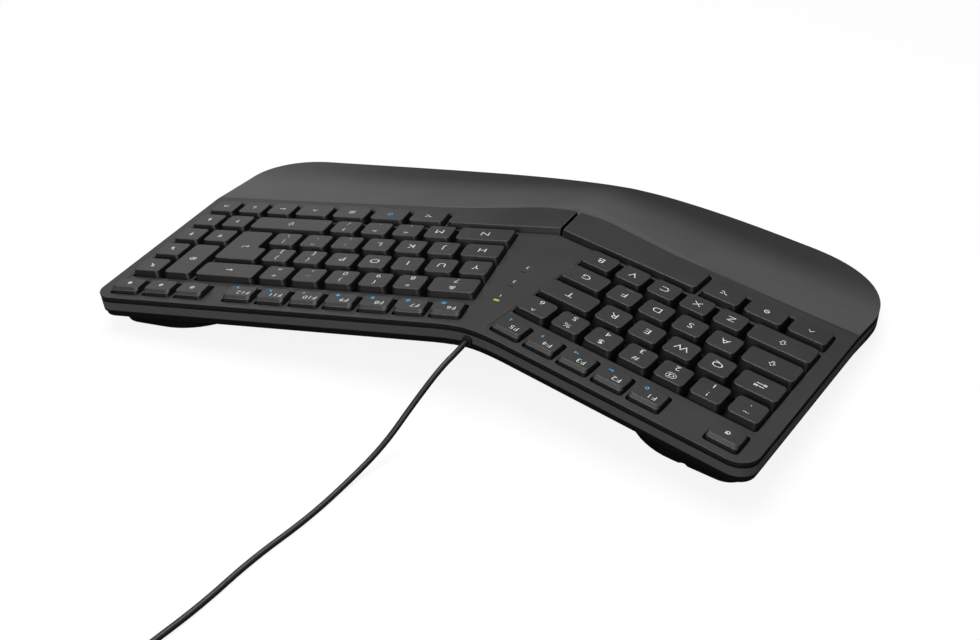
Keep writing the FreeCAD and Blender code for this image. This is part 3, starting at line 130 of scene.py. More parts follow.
def coil_frame():
    """The coil's first direction meets the cable's last one."""
    way = ROUTE[-1] - ROUTE[-2]
    start, following = coil_point(0), coil_point(1)
    growth = following.to_2d().length - start.x
    turn = math.atan2(way.y, way.x) - math.atan2(start.x * math.pi / 2, growth)
    rotation = Matrix.Rotation(turn, 4, "Z")
    return Matrix.Translation(ROUTE[-1] - rotation @ start) @ rotation


def cable_points():
    place = coil_frame()
    points = list(ROUTE)
    last = (COIL_LAYERS * COIL_QUARTERS + 4) * POINTS_PER_QUARTER
    for k in range(1, last + 1):
        point = coil_point(k / POINTS_PER_QUARTER)
        points.append(place @ Vector((point.x * CUT_INSIDE, point.y * CUT_INSIDE, point.z)))
    along = (place.to_3x3() @ Vector((0, 1, 0))).normalized()
    points.append(points[-1] + along * CABLE * PLUG_INSET)
    return points


def make_cable():
    data = bpy.data.curves.new("cable", "CURVE")
    data.dimensions = "3D"
    data.bevel_depth = 1.0      # times the radius at each point, which the curve's own box counts too
    data.bevel_resolution = 3
    data.resolution_u = 6
    data.use_fill_caps = True
    spline = data.splines.new("NURBS")
    points = cable_points()
    spline.points.add(len(points) - 1)
    for point, place in zip(spline.points, points):
        point.co = (*place, 1)
        point.radius = CABLE / 2
    spline.order_u = 3
    spline.use_endpoint_u = True
    piece = bpy.data.objects.new("cable", data)
    bpy.context.scene.collection.objects.link(piece)
    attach(piece, "base")
    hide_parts("usb_cable", "usb_cable_coil")
    return piece


cable = make_cable()


# Materials

# Borders of the zones of colour on the cases, in mm: along the fields from the front row's middle, and up from the
# key tops. The zones hold painted light and shade: a lighter palm rest that darkens towards its front, and near-black
# shade in the seam's groove and on the lower case's foot.
CREASE = -18.7
CREASE_BLEND = 0.6
PALM_MIDDLE = -50.0
PALM_FRONT = -85.0
PALM_FRONT_SHADE = 0.42     # painted shade: how far the palm rest darkens between the two
BAND_TOP = -6.3
BAND_FOOT = -10.8

FLOW_MARKS = 30.0           # mm
SPECK = 0.12                # share of the texture in the mix of the two colours
GLOSS_SPREAD = 0.05
EDGE_HIGHLIGHT_SPAN = (0.85, 0.98)  # likeness of the rounded and the plain normal, from full painted highlight to none


def linear(colour):
    """Colour from its sRGB hex value."""
    values = [int(colour[i:i + 2], 16) / 255 for i in (1, 3, 5)]
    return [v / 12.92 if v <= 0.04045 else ((v + 0.055) / 1.055) ** 2.4 for v in values] + [1.0]


def add_node(tree, kind, links=None, **settings):
    """One node with its settings, and what its sockets are linked to or set to."""
    made = tree.nodes.new("ShaderNode" + kind)
    for name, value in settings.items():
        setattr(made, name, value)
    for socket, value in (links or {}).items():
        if isinstance(value, bpy.types.NodeSocket):
            tree.links.new(value, made.inputs[socket])
        else:
            made.inputs[socket].default_value = value
    return made


def new_material(name):
    material = bpy.data.materials.new(name)
    material.use_nodes = True
    tree = material.node_tree
    tree.nodes.clear()
    place = add_node(tree, "TexCoord").outputs["Object"]
    return material, tree, place


def finish(tree, **links):
    """Main shader and output. Sockets are named with underscores for spaces."""
    sockets = {name.replace("_", " "): value for name, value in links.items()}
    shader = add_node(tree, "BsdfPrincipled", sockets)
    add_node(tree, "OutputMaterial", {"Surface": shader.outputs[0]})


def rounded_edges(tree, radius):
    """Normal that rounds the sharp edges of the mesh, so that they catch the light."""
    return add_node(tree, "Bevel", {"Radius": radius * MM}, samples=4).outputs[0]


def mix(tree, factor, low, high):
    return add_node(tree, "Mix", {"Factor": factor, "A": low, "B": high}, data_type="RGBA").outputs["Result"]


def moulded(name, dark, light, grain, depth, roughness, wall_colour_and_shade=None, steep=(0.55, 0.8), palm=None, ior=1.5, edge=0.3,
            edge_highlight=None):
    """Moulded plastic. In mm: grain, the texture's size, depth, its height, and edge, the radius of edges. The wall
    colour, of steep faces, which the upright part of their normal tells, carries painted shade; palm holds the two
    colours of the palm rest, painted light, with painted shade towards its front; the edge colour is a painted
    highlight on the edges."""
    material, tree, place = new_material(name)
    texture = add_node(tree, "TexNoise", {"Vector": place, "Scale": 1 / (grain * MM), "Detail": 2.0,
                                          "Roughness": 0.55})
    flow = add_node(tree, "TexNoise", {"Vector": place, "Scale": 1 / (FLOW_MARKS * MM), "Detail": 3.0,
                                       "Roughness": 0.5})
    blend = add_node(tree, "MapRange", {"Value": flow.outputs["Fac"], "From Min": 0.3, "From Max": 0.7})
    speck = add_node(tree, "MapRange", {"Value": texture.outputs["Fac"], "From Min": 0.25, "From Max": 0.75,
                                        "To Min": -SPECK, "To Max": SPECK})
    shade = add_node(tree, "Math", {0: blend.outputs[0], 1: speck.outputs[0]}, operation="ADD", use_clamp=True)
    colour = mix(tree, shade.outputs[0], linear(dark), linear(light))
    if palm:
        # Painted light: the palm rest lighter than the deck, with painted shade darkening it towards its front.
        rest = mix(tree, shade.outputs[0], linear(palm[0]), linear(palm[1]))
        front = add_node(tree, "MapRange", {"Value": in_fields(tree, place, (0, 1, 0), "MINIMUM"),
                                            "From Min": PALM_FRONT, "From Max": PALM_MIDDLE,
                                            "To Min": PALM_FRONT_SHADE, "To Max": 1.0})
        rest = add_node(tree, "HueSaturation", {"Color": rest, "Value": front.outputs[0]}).outputs[0]
        colour = mix(tree, before_crease(tree, place), colour, rest)
    if wall_colour_and_shade:
        # Steep faces take the wall colour, which carries painted shade.
        facing = add_node(tree, "SeparateXYZ", {"Vector": add_node(tree, "TexCoord").outputs["Normal"]})
        flat = add_node(tree, "MapRange", {"Value": facing.outputs["Z"], "From Min": steep[0], "From Max": steep[1]})
        wall = wall_colour_and_shade(tree, place) if callable(wall_colour_and_shade) else linear(wall_colour_and_shade)
        colour = mix(tree, flat.outputs[0], wall, colour)
    rounded = rounded_edges(tree, edge)
    if edge_highlight:
        # Painted highlight along the edges, where the rounded normal turns from the plain one.
        straight = add_node(tree, "NewGeometry").outputs["Normal"]
        alike = add_node(tree, "VectorMath", {0: rounded, 1: straight}, operation="DOT_PRODUCT").outputs["Value"]
        highlighted = add_node(tree, "MapRange", {"Value": alike, "From Min": EDGE_HIGHLIGHT_SPAN[0], "From Max": EDGE_HIGHLIGHT_SPAN[1],
                                             "To Min": 1.0, "To Max": 0.0})
        colour = mix(tree, highlighted.outputs[0], colour, linear(edge_highlight))
    gloss = add_node(tree, "MapRange", {"Value": texture.outputs["Fac"], "From Min": 0.2, "From Max": 0.8,
                                        "To Min": roughness - GLOSS_SPREAD, "To Max": roughness + GLOSS_SPREAD})
    relief = add_node(tree, "Bump", {"Height": texture.outputs["Fac"], "Strength": 1.0, "Distance": depth * MM,
                                     "Normal": rounded})
    finish(tree, Base_Color=colour, Roughness=gloss.outputs[0], IOR=ior, Normal=relief.outputs[0])
    return material


def in_fields(tree, place, axis, pick):
    """Coordinate in mm along an axis of the key fields. Pick tells which of the two is the nearer field's."""
    found = []
    for frame_of_field in FIELD.values():
        way = frame_of_field.to_3x3() @ Vector(axis)
        along = add_node(tree, "VectorMath", {0: place, 1: way}, operation="DOT_PRODUCT").outputs["Value"]
        found.append(add_node(tree, "Math", {0: along, 1: way.dot(frame_of_field.translation)},
                              operation="SUBTRACT").outputs[0])
    nearer = add_node(tree, "Math", {0: found[0], 1: found[1]}, operation=pick).outputs[0]
    return add_node(tree, "Math", {0: nearer, 1: 1 / MM}, operation="MULTIPLY").outputs[0]


def before_crease(tree, place):
    """1 on the palm rest, 0 on the key deck behind the crease."""
    rearward = in_fields(tree, place, (0, 1, 0), "MINIMUM")
    return add_node(tree, "MapRange", {"Value": rearward, "From Min": CREASE - CREASE_BLEND,
                                       "From Max": CREASE + CREASE_BLEND, "To Min": 1.0, "To Max": 0.0}).outputs[0]


def band_and_painted_shade(tree, place):
    """The band under the seam is grained and greyer; above it in the seam's groove and below it on the foot, painted
    shade makes the case near black.
    """
    height = in_fields(tree, place, (0, 0, 1), "MAXIMUM")
    above = add_node(tree, "MapRange", {"Value": height, "From Min": BAND_FOOT - 0.4, "From Max": BAND_FOOT})
    below = add_node(tree, "MapRange", {"Value": height, "From Min": BAND_TOP, "From Max": BAND_TOP + 0.2,
                                        "To Min": 1.0, "To Max": 0.0})
    inside = add_node(tree, "Math", {0: above.outputs[0], 1: below.outputs[0]}, operation="MULTIPLY")
    return mix(tree, inside.outputs[0], linear("#050506"), linear("#3d3d3e"))


def set_material(material, *names):
    for name in names:
        NODES[name].data.materials.clear()
        NODES[name].data.materials.append(material)


# Injection-moulded ABS with a fine spark-eroded texture: a soft grey bloom over near black. Drawn a little coarse.
# The rim's edge round the case and its other steep faces carry near-black painted shade, its edges a painted
# highlight, and the palm rest is painted lighter, with painted shade towards its front.
UPPER_CASE = moulded("spark_eroded_abs", "#222223", "#292929", 0.7, 0.012, 0.5, wall_colour_and_shade="#060607", steep=(0.7, 0.975),
                     palm=("#424243", "#484849"), edge=0.4, edge_highlight="#48484a")
# The lower case is darker, with a greyer band along its side and near-black painted shade in the groove above it and
# on the foot below.
LOWER_CASE = moulded("satin_abs", "#060607", "#0a0a0b", 0.6, 0.005, 0.45, wall_colour_and_shade=band_and_painted_shade, ior=1.35, edge=0.4)
# Key caps: finely matt on top, with near-black painted shade on their steep sides and a painted highlight along their
# edges.
KEY_CAPS = moulded("matt_key_abs", "#222223", "#292929", 0.5, 0.008, 0.42, wall_colour_and_shade="#0f0f10", edge=0.42, edge_highlight="#8a8a8d")

set_material(UPPER_CASE, "top_case")
set_material(LOWER_CASE, "bottom_case", "flip_foot_left", "flip_foot_right")
KEY_NODES = [name for name in NODES if name.startswith("key_") and len(name) == 5] + [
    "number_keys_left", "number_keys_right", "control_keys_left", "function_keys_left", "function_keys_right",
    "backspace_key", "symbol_keys_right", "modifier_keys_right", "navigation_keys", "enter_key",
    "space_left", "space_right"]
set_material(KEY_CAPS, *KEY_NODES)

# Black acetal guide plates: waxy, seen only as the dark floor between the keys.
set_material(moulded("black_acetal", "#070708", "#0b0b0c", 1.5, 0.004, 0.45, ior=1.48),
             "key_plate_left", "key_plate_right")
# Silicone rubber dome mats: milky grey, dull.
SILICONE = moulded("silicone_rubber", "#8f9694", "#a0a6a4", 1.0, 0.006, 0.55, ior=1.43)
# Polyester film circuit sheets: clear film that looks pale and glossy over the mat.
set_material(moulded("polyester_film", "#9fb0b4", "#b4c2c6", 4.0, 0.002, 0.2, ior=1.6),
             "circuit_sheet_upper", "circuit_spacer_sheet", "circuit_sheet_lower")
# Soft PVC cable jacket, extruded: even black with a dull shine.
CABLE_PVC = moulded("extruded_pvc", "#101011", "#161617", 0.4, 0.004, 0.42, ior=1.53)
cable.data.materials.append(CABLE_PVC)
set_material(moulded("moulded_pvc", "#0f0f10", "#141415", 0.4, 0.006, 0.45, ior=1.53),
             "cable_grommet", "usb_plug_body")
# Nylon tie: black, a little waxy.
set_material(moulded("nylon", "#121213", "#1a1a1b", 0.8, 0.005, 0.4, ior=1.53), "cable_tie")
# Thermoplastic rubber feet: dead matt.
set_material(moulded("matt_rubber", "#161616", "#1d1d1d", 0.5, 0.012, 0.8, ior=1.5), "rubber_feet")
# Glass-fibre laminate board with green solder mask.
set_material(moulded("solder_mask", "#0d3b25", "#125032", 1.2, 0.006, 0.3, ior=1.55), "controller_board")


def rolled_steel(name, dark, light, roughness, lay, grain):
    """Bare or plated steel: fine lines along the rolling direction, lay is their stretch along x."""
    material, tree, place = new_material(name)
    stretch = add_node(tree, "Mapping", {"Vector": place, "Scale": (1 / lay, 1, 1)})
    lines = add_node(tree, "TexNoise", {"Vector": stretch.outputs[0], "Scale": 1 / (grain * MM), "Detail": 3.0})
    colour = mix(tree, lines.outputs["Fac"], linear(dark), linear(light))
    gloss = add_node(tree, "MapRange", {"Value": lines.outputs["Fac"], "To Min": roughness - 0.06,
                                        "To Max": roughness + 0.06})
    relief = add_node(tree, "Bump", {"Height": lines.outputs["Fac"], "Strength": 1.0, "Distance": 0.003 * MM})
    finish(tree, Base_Color=colour, Metallic=1.0, Roughness=gloss.outputs[0], Normal=relief.outputs[0])
    return material


# Galvanised backing plates, nickel-plated plug shell and zinc-plated screws.
set_material(rolled_steel("galvanised_steel", "#a9adb0", "#c3c6c8", 0.38, 8, 0.6), "backing_plates")
set_material(rolled_steel("nickel_plate", "#b9b6ae", "#cfccc4", 0.22, 4, 0.3), "usb_plug_shell")
set_material(rolled_steel("zinc_plate", "#8c9093", "#b0b3b5", 0.32, 1, 0.3), "case_screws")


LIT_FROM = 72.0 * MM - MIDDLE.y     # the rearmost lamp lies behind this


def lamp_windows():
    """Light guides of clear acrylic over the lamps. The rearmost lamp is lit yellow-green."""
    material, tree, place = new_material("acrylic_light_guide")
    parts = add_node(tree, "SeparateXYZ", {"Vector": place})
    lit = add_node(tree, "Math", {0: parts.outputs["Y"], 1: LIT_FROM}, operation="GREATER_THAN")
    cloud = add_node(tree, "TexNoise", {"Vector": place, "Scale": 1 / (0.8 * MM)})
    colour = mix(tree, cloud.outputs["Fac"], linear("#1c1d1e"), linear("#26282a"))
    glow = add_node(tree, "Math", {0: lit.outputs[0], 1: 0.8}, operation="MULTIPLY")
    finish(tree, Base_Color=colour, Roughness=0.2, IOR=1.49, Emission_Color=linear("#b9cf3a"),
           Emission_Strength=glow.outputs[0])
    return material


set_material(lamp_windows(), "status_lenses")


# Legends: plain letters, digits and signs, with plain symbols where a key would carry a word

LEGEND_RISE = 0.03 * MM
LETTER = 4.2 * MM           # height of a lone letter
MARK = 3.4 * MM             # height of one of two characters
SMALL = 3.0 * MM            # height of a function key's number
WIDE = 1.3                  # width of the letters against the built-in ones
STROKE = 0.42 * MM
CAPITAL = 0.73              # height of a capital against the built-in size
LOWER_MARK = -3.7 * MM      # places of two characters on one key
UPPER_MARK = 3.3 * MM


def printed(name, colour):
    """Pad-printed lacquer: flat, slightly uneven cover over the key's texture."""
    material, tree, place = new_material(name)
    cover = add_node(tree, "TexNoise", {"Vector": place, "Scale": 1 / (0.4 * MM), "Detail": 1.0})
    shade = add_node(tree, "MapRange", {"Value": cover.outputs["Fac"], "To Min": 0.85, "To Max": 1.05})
    tint = add_node(tree, "HueSaturation", {"Color": linear(colour), "Value": shade.outputs[0]})
    finish(tree, Base_Color=tint.outputs[0], Roughness=0.5, IOR=1.5)
    return material


WHITE_INK = printed("white_lacquer", "#d9dbdc")
BLUE_INK = printed("blue_lacquer", "#2aa0dc")

# Strokes of the plain symbols, in tenths of a millimetre about the symbol's middle
RING = [(10 * math.cos(a * math.pi / 8), 10 * math.sin(a * math.pi / 8)) for a in range(17)]
SYMBOLS = {
    "tab": [[(-18, 8), (18, 8)], [(10, 14), (18, 8), (10, 2)], [(20, 15), (20, 1)],
            [(18, -8), (-18, -8)], [(-10, -14), (-18, -8), (-10, -2)], [(-20, -15), (-20, -1)]],
    "caps": [[(-6, -6), (-6, 2), (-13, 2), (0, 15), (13, 2), (6, 2), (6, -6), (-6, -6)], [(-6, -12), (6, -12)]],
    "shift": [[(-6, -12), (-6, 2), (-13, 2), (0, 15), (13, 2), (6, 2), (6, -12), (-6, -12)]],
    "control": [[(-11, -6), (0, 7), (11, -6)]],
    "option": [[(-16, 8), (-6, 8), (6, -8), (16, -8)], [(4, 8), (16, 8)]],
    "round": [RING, [(-3, 0), (3, 0)]],
    "function": [RING],
    "menu": [[(-12, 10), (12, 10), (12, -10), (-12, -10), (-12, 10)], [(-6, 4), (6, 4)], [(-6, -4), (6, -4)]],
    "left": [[(14, 0), (-14, 0)], [(-6, 7), (-14, 0), (-6, -7)]],
    "right": [[(-14, 0), (14, 0)], [(6, 7), (14, 0), (6, -7)]],
    "up": [[(0, -12), (0, 12)], [(-7, 5), (0, 12), (7, 5)]],
    "down": [[(0, 12), (0, -12)], [(-7, -5), (0, -12), (7, -5)]],
    "enter": [[(14, 9), (14, -3), (-14, -3)], [(-7, 4), (-14, -3), (-7, -10)]],
    "escape": [RING, [(0, 0), (10, 10)], [(3, 10), (10, 10), (10, 3)]],
    "insert": [[(0, -10), (0, 8)], [(-8, 0), (0, 8), (8, 0)], [(-10, 12), (10, 12)]],
    "delete": [[(-14, 9), (6, 9), (14, 0), (6, -9), (-14, -9), (-14, 9)], [(-7, 4), (1, -4)], [(-7, -4), (1, 4)]],
    "home": [[(10, -10), (-9, 9)], [(-9, -1), (-9, 9), (1, 9)], [(-13, 13), (2, 13)]],
    "end": [[(-10, 10), (9, -9)], [(9, 1), (9, -9), (-1, -9)], [(13, -13), (-2, -13)]],
    "page_up": [[(0, -12), (0, 12)], [(-7, 5), (0, 12), (7, 5)], [(-5, -4), (5, -4)], [(-5, 0), (5, 0)]],
    "page_down": [[(0, 12), (0, -12)], [(-7, -5), (0, -12), (7, -5)], [(-5, 4), (5, 4)], [(-5, 0), (5, 0)]],
    "print": [[(-12, -4), (-12, 6), (12, 6), (12, -4), (-12, -4)], [(-7, 6), (-7, 12), (7, 12), (7, 6)],
              [(-7, -4), (-7, -11), (7, -11), (7, -4)]],
    "scroll": [RING, [(0, 6), (0, -6)], [(-4, -2), (0, -6), (4, -2)]],
    "pause": [RING, [(-3, 5), (-3, -5)], [(3, 5), (3, -5)]],
}


def flat_mesh(piece):
    """Turn a text or curve object into a mesh and hand that over; the object goes."""
    bpy.context.view_layer.update()
    evaluated = piece.evaluated_get(bpy.context.evaluated_depsgraph_get())
    mesh = bpy.data.meshes.new_from_object(evaluated)
    data = piece.data
    bpy.data.objects.remove(piece)
    bpy.data.curves.remove(data)
    return mesh


def glyph(text, height, wide=WIDE):
    """Plain built-in letters, centred sideways, their capitals centred on the origin."""
    data = bpy.data.curves.new("glyph", "FONT")
    data.body = text
    data.size = height / CAPITAL
    data.extrude = LEGEND_RISE
    data.offset = -0.02 * height
    data.resolution_u = 3
    piece = bpy.data.objects.new("glyph", data)
    bpy.context.scene.collection.objects.link(piece)
    mesh = flat_mesh(piece)
    xs = [v.co.x for v in mesh.vertices]
    mesh.transform(Matrix.Diagonal((wide, 1, 1, 1)) @ Matrix.Translation((-(min(xs) + max(xs)) / 2, -height / 2, 0)))
    return mesh


def symbol(name, scale=1.3, stroke=STROKE):
    data = bpy.data.curves.new("symbol", "CURVE")
    data.dimensions = "3D"
    data.bevel_depth = stroke / 2
    data.bevel_resolution = 1
    for points in SYMBOLS[name]:
        closed = points[0] == points[-1]
        if closed:
            points = points[:-1]
        spline = data.splines.new("POLY")
        spline.points.add(len(points) - 1)
        spline.use_cyclic_u = closed
        for point, (x, y) in zip(spline.points, points):
            point.co = (x * 0.1 * MM * scale, y * 0.1 * MM * scale, 0, 1)
    data.use_fill_caps = True
    piece = bpy.data.objects.new("symbol", data)
    bpy.context.scene.collection.objects.link(piece)
    mesh = flat_mesh(piece)
    mesh.transform(Matrix.Diagonal((1, 1, 2 * LEGEND_RISE / stroke, 1)))
    return mesh


legends = {}


def mark(node, mesh, place, ink=WHITE_INK):
    """Put one legend's mesh on a node, at a place given as a matrix."""
    mesh.transform(place)
    mesh.materials.clear()
    mesh.materials.append(ink)
    legends.setdefault((node, ink.name), []).append(mesh)


def on_key(side, x, y, drop=0.0):
    return FIELD[side] @ Matrix.Translation((x, y, -drop))


# Rows from the rear one, with the keys' widths in units. The left field's rows start at LEFT_END, the right one's at
# the number after the row's.
LEFT_END = -7.25
LEFT = [
    (4, [("number_keys_left", 1, "`~"), ("number_keys_left", 1, "1!"), ("number_keys_left", 1, "2@"),
         ("number_keys_left", 1, "3#"), ("number_keys_left", 1, "4$"), ("number_keys_left", 1, "5%"),
         ("number_keys_left", 1.07, "6^")]),
    (3, [("control_keys_left", 1.34, "tab")] + [("key_" + c, 1, c) for c in "qwer"] + [("key_t", 1.73, "t")]),
    (2, [("control_keys_left", 1.64, "caps")] + [("key_" + c, 1, c) for c in "asdf"] + [("key_g", 1.43, "g")]),
    (1, [("control_keys_left", 1.97, "shift")] + [("key_" + c, 1, c) for c in "zxcv"] + [("key_b", 1.10, "b")]),
    (0, [("control_keys_left", 1.27, "control"), ("control_keys_left", 1.27, "round"),
         ("control_keys_left", 1.27, "option")]),
]
RIGHT = [
    (4, 0, [("number_keys_right", 1.5, "7&"), ("number_keys_right", 1, "8*"), ("number_keys_right", 1, "9("),
            ("number_keys_right", 1, "0)"), ("number_keys_right", 1, "-_"), ("number_keys_right", 1, "=+"),
            ("backspace_key", 2, "left")]),
    (3, 0, [("key_y", 0.99, "y")] + [("key_" + c, 1, c) for c in "uiop"]
        + [("symbol_keys_right", 1, "[{"), ("symbol_keys_right", 1, "]}")]),
    (2, 0, [("key_h", 1.31, "h")] + [("key_" + c, 1, c) for c in "jkl"]
        + [("symbol_keys_right", 1, ";:"), ("symbol_keys_right", 1, "'\""), ("symbol_keys_right", 1, "\\|")]),
    (1, 0, [("key_n", 1.82, "n"), ("key_m", 1, "m"), ("symbol_keys_right", 1, ",<"), ("symbol_keys_right", 1, ".>"),
            ("symbol_keys_right", 1, "/?"), ("modifier_keys_right", 2.68, "shift")]),
    (0, 2.42, [("modifier_keys_right", 1.27, "option"), ("modifier_keys_right", 1.27, "function"),
               ("modifier_keys_right", 1.27, "menu"), ("modifier_keys_right", 1.27, "control"),
               ("navigation_keys", 1, "left"), ("navigation_keys", 1, "down"), ("navigation_keys", 1, "right")]),
    (1, 8.5, [("navigation_keys", 1, "up"), ("navigation_keys", 1, "page_down")]),
    (2, 8.5, [("navigation_keys", 1, "insert"), ("navigation_keys", 1, "page_up")]),
    (3, 9.5, [("navigation_keys", 1, "end")]),
    (4, 9.5, [("navigation_keys", 1, "home")]),
]


def mark_key(node, side, x, y, legend):
    """Legend of one key whose middle is at x, y in its field."""
    if legend in SYMBOLS:
        ink = BLUE_INK if legend == "function" else WHITE_INK
        mark(node, symbol(legend), on_key(side, x, y), ink)
    elif len(legend) == 1:
        mark(node, glyph(legend.upper(), LETTER), on_key(side, x, y))
    else:
        lower, upper = legend
        mark(node, glyph(lower, MARK), on_key(side, x, y + LOWER_MARK))
        mark(node, glyph(upper, MARK), on_key(side, x, y + UPPER_MARK))


def mark_rows():
    for row, cells in LEFT:
        x = LEFT_END
        for node, units, legend in cells:
            mark_key(node, -1, (x + units / 2) * UNIT, row * UNIT, legend)
            x += units
    for row, x, cells in RIGHT:
        for node, units, legend in cells:
            mark_key(node, 1, (x + units / 2) * UNIT, row * UNIT, legend)
            x += units
    mark_key("enter_key", 1, 7.8 * UNIT, 2.6 * UNIT, "enter")
    mark_key("navigation_keys", 1, 9.0 * UNIT, 3.5 * UNIT, "delete")


# Function row: places in units along the rows, the rest in metres
FUNCTION_Y = (4.69 + 5.43) / 2 * UNIT - 0.2 * MM
FUNCTION_DROP = 0.5 * MM    # its caps lie lower
LEFT_F_KEYS = LEFT_END + 2.05
RIGHT_F_KEYS = 0.03
ESCAPE_X = LEFT_END + 0.5
LAST_THREE_X = 8.03
NUMBER_AT = (-2.2 * MM, 1.7 * MM)
SIGN_AT = (3.0 * MM, -2.6 * MM)
SIGN_SCALE = 0.8
SIGN_STROKE = 0.4 * MM
FUNCTION_SCALE = 0.9
BLUE_MARKS = ["function", "left", "right", "up", "down", "menu", "print", "scroll", "pause", "insert", "home", "end"]
LEFT_COUNT = 5              # function keys on the left field


def mark_function_row():
    """Number of each function key, with a small blue sign at its front right."""
    for k, sign_name in enumerate(BLUE_MARKS):
        if k < LEFT_COUNT:
            side, node, x = -1, "function_keys_left", (LEFT_F_KEYS + k + 0.5) * UNIT
        else:
            side, node, x = 1, "function_keys_right", (RIGHT_F_KEYS + k - LEFT_COUNT + 0.5) * UNIT
        place = on_key(side, x + NUMBER_AT[0], FUNCTION_Y + NUMBER_AT[1], FUNCTION_DROP)
        mark(node, glyph("F%d" % (k + 1), SMALL), place)
        place = on_key(side, x + SIGN_AT[0], FUNCTION_Y + SIGN_AT[1], FUNCTION_DROP)
        mark(node, symbol(sign_name, SIGN_SCALE, SIGN_STROKE), place, BLUE_INK)
    place = on_key(-1, ESCAPE_X * UNIT, FUNCTION_Y, FUNCTION_DROP)
    mark("function_keys_left", symbol("escape", FUNCTION_SCALE), place)
    for k, legend in enumerate(("print", "scroll", "pause")):
        place = on_key(1, (LAST_THREE_X + k) * UNIT, FUNCTION_Y, FUNCTION_DROP)
        mark("function_keys_right", symbol(legend, FUNCTION_SCALE), place)


LAMP_MARKS = ((44.7, "3"), (60.2, "2"), (75.1, "1"))    # mm from the ridge's start
LAMP_MARK_X = -1.4          # mm
LAMP_MARK_DROP = 3.0
LAMP_MARK_HEIGHT = 2.4 * MM
LAMP_MARK_WIDE = 1.1


def mark_lamps():
    """Small signs in front of the three lamp windows: plain numbers."""
    for y, legend in LAMP_MARKS:
        place = RIDGE @ Matrix.Translation(Vector((LAMP_MARK_X, y, -LAMP_MARK_DROP)) * MM)
        mark("top_case", glyph(legend, LAMP_MARK_HEIGHT, LAMP_MARK_WIDE), place)


HOMING_BAR = (4.4 * MM, 0.7 * MM, 0.8 * MM)
HOMING_ROUNDING = 0.32 * MM
HOMING_Y = 2 * UNIT - 5.0 * MM


def homing_bar(node, x):
    """Small rounded bar across the front of a key, felt by the forefinger."""
    bpy.ops.object.select_all(action="DESELECT")
    bpy.ops.mesh.primitive_cube_add(size=1)
    bar = bpy.context.object
    bar.data.transform(Matrix.Diagonal((*HOMING_BAR, 1)))
    bevel = bar.modifiers.new("rounding", "BEVEL")
    bevel.width = HOMING_ROUNDING
    bevel.segments = 3
    bpy.ops.object.modifier_apply(modifier=bevel.name)
    side = -1 if x < 0 else 1
    bar.data.transform(FIELD[side] @ Matrix.Translation((x * UNIT, HOMING_Y, 0)))
    bar.data.update()
    bar.name = bar.data.name = "homing_bar_" + node[-1]
    bar.data.materials.append(KEY_CAPS)
    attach(bar, body_of[node])


mark_rows()
mark_function_row()
mark_lamps()

body_of = {node: body for body, nodes in frame["record"]["behaviour"]["bodies"].items() for node in nodes}


def join_legends():
    """One piece of each ink on each node, which moves with its keys."""
    for (node, ink), meshes in legends.items():
        vertices, faces = [], []
        for mesh in meshes:
            start = len(vertices)
            vertices += [tuple(v.co) for v in mesh.vertices]
            faces += [[start + i for i in polygon.vertices] for polygon in mesh.polygons]
        colour = "white" if ink == WHITE_INK.name else "blue"
        data = bpy.data.meshes.new("legends_%s_%s" % (node, colour))
        data.from_pydata(vertices, [], faces)
        data.materials.append(bpy.data.materials[ink])
        piece = bpy.data.objects.new(data.name, data)
        bpy.context.scene.collection.objects.link(piece)
        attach(piece, body_of[node])


join_legends()
homing_bar("key_f", LEFT_END + 1.64 + 3.5)
homing_bar("key_j", 1.31 + 0.5)


# Rubber mats: a sheet that stays, and one piece of domes for each key joint

DOME_BASE = 5.2 * MM        # across
DOME_TOP = 3.4 * MM
DOME_WALL = 0.6 * MM
DOME_HEIGHT = 3.6 * MM
DOME_SHOULDER = 0.3 * MM
DOME_SIDES = 20
CROWN = 0.05 * MM           # the domes' top vertices lie this near their highest one
STEM_REACH = 2.7 * MM       # a stem's end lies this near its dome's middle, sideways
STEM_GAP = 0.3 * MM         # and at most this far over it
SEAM_REACH = 0.02 * MM


def rubber_piece(name, mesh_code, side, node):
    """Piece of a field's mat from bmesh code in the field's frame, with its normals outwards."""
    shape = bmesh.new()
    mesh_code(shape)
    bmesh.ops.recalc_face_normals(shape, faces=shape.faces)
    shape.transform(FIELD[side])
    data = bpy.data.meshes.new(name)
    shape.to_mesh(data)
    shape.free()
    data.materials.append(SILICONE)
    piece = bpy.data.objects.new(name, data)
    bpy.context.scene.collection.objects.link(piece)
    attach(piece, "base")
    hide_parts(node)
    return piece


def add_dome(shape, x, y, floor_z):
    """One hollow dome, open below, as a closed ring about x, y."""
    base, top = DOME_BASE / 2, DOME_TOP / 2
    outline = [(base - DOME_WALL, 0), (base, 0), (top, DOME_HEIGHT - DOME_SHOULDER),
               (top - DOME_SHOULDER, DOME_HEIGHT), (top - DOME_WALL, DOME_HEIGHT - DOME_WALL)]
    angles = [2 * math.pi * k / DOME_SIDES for k in range(DOME_SIDES)]
    rings = [[shape.verts.new((x + radius * math.cos(a), y + radius * math.sin(a), floor_z + z)) for a in angles]
             for radius, z in outline]
    for low, high in ((0, 1), (1, 2), (2, 3), (4, 0)):
        for k in range(DOME_SIDES):
            following = (k + 1) % DOME_SIDES
            shape.faces.new((rings[low][k], rings[low][following], rings[high][following], rings[high][k]))
    shape.faces.new(rings[3])
    shape.faces.new(rings[4])


def middles(points):
    """Middle of each cluster of points that lie close together in x and y."""
    clusters = []
    for point in points:
        near = [c for c in clusters if (c[0] - point).to_2d().length < DOME_BASE]
        if near:
            near[0].append(point)
        else:
            clusters.append([point])
    spans = [([min(p[k] for p in c) for k in (0, 1)], [max(p[k] for p in c) for k in (0, 1)]) for c in clusters]
    return [((low[0] + high[0]) / 2, (low[1] + high[1]) / 2) for low, high in spans]


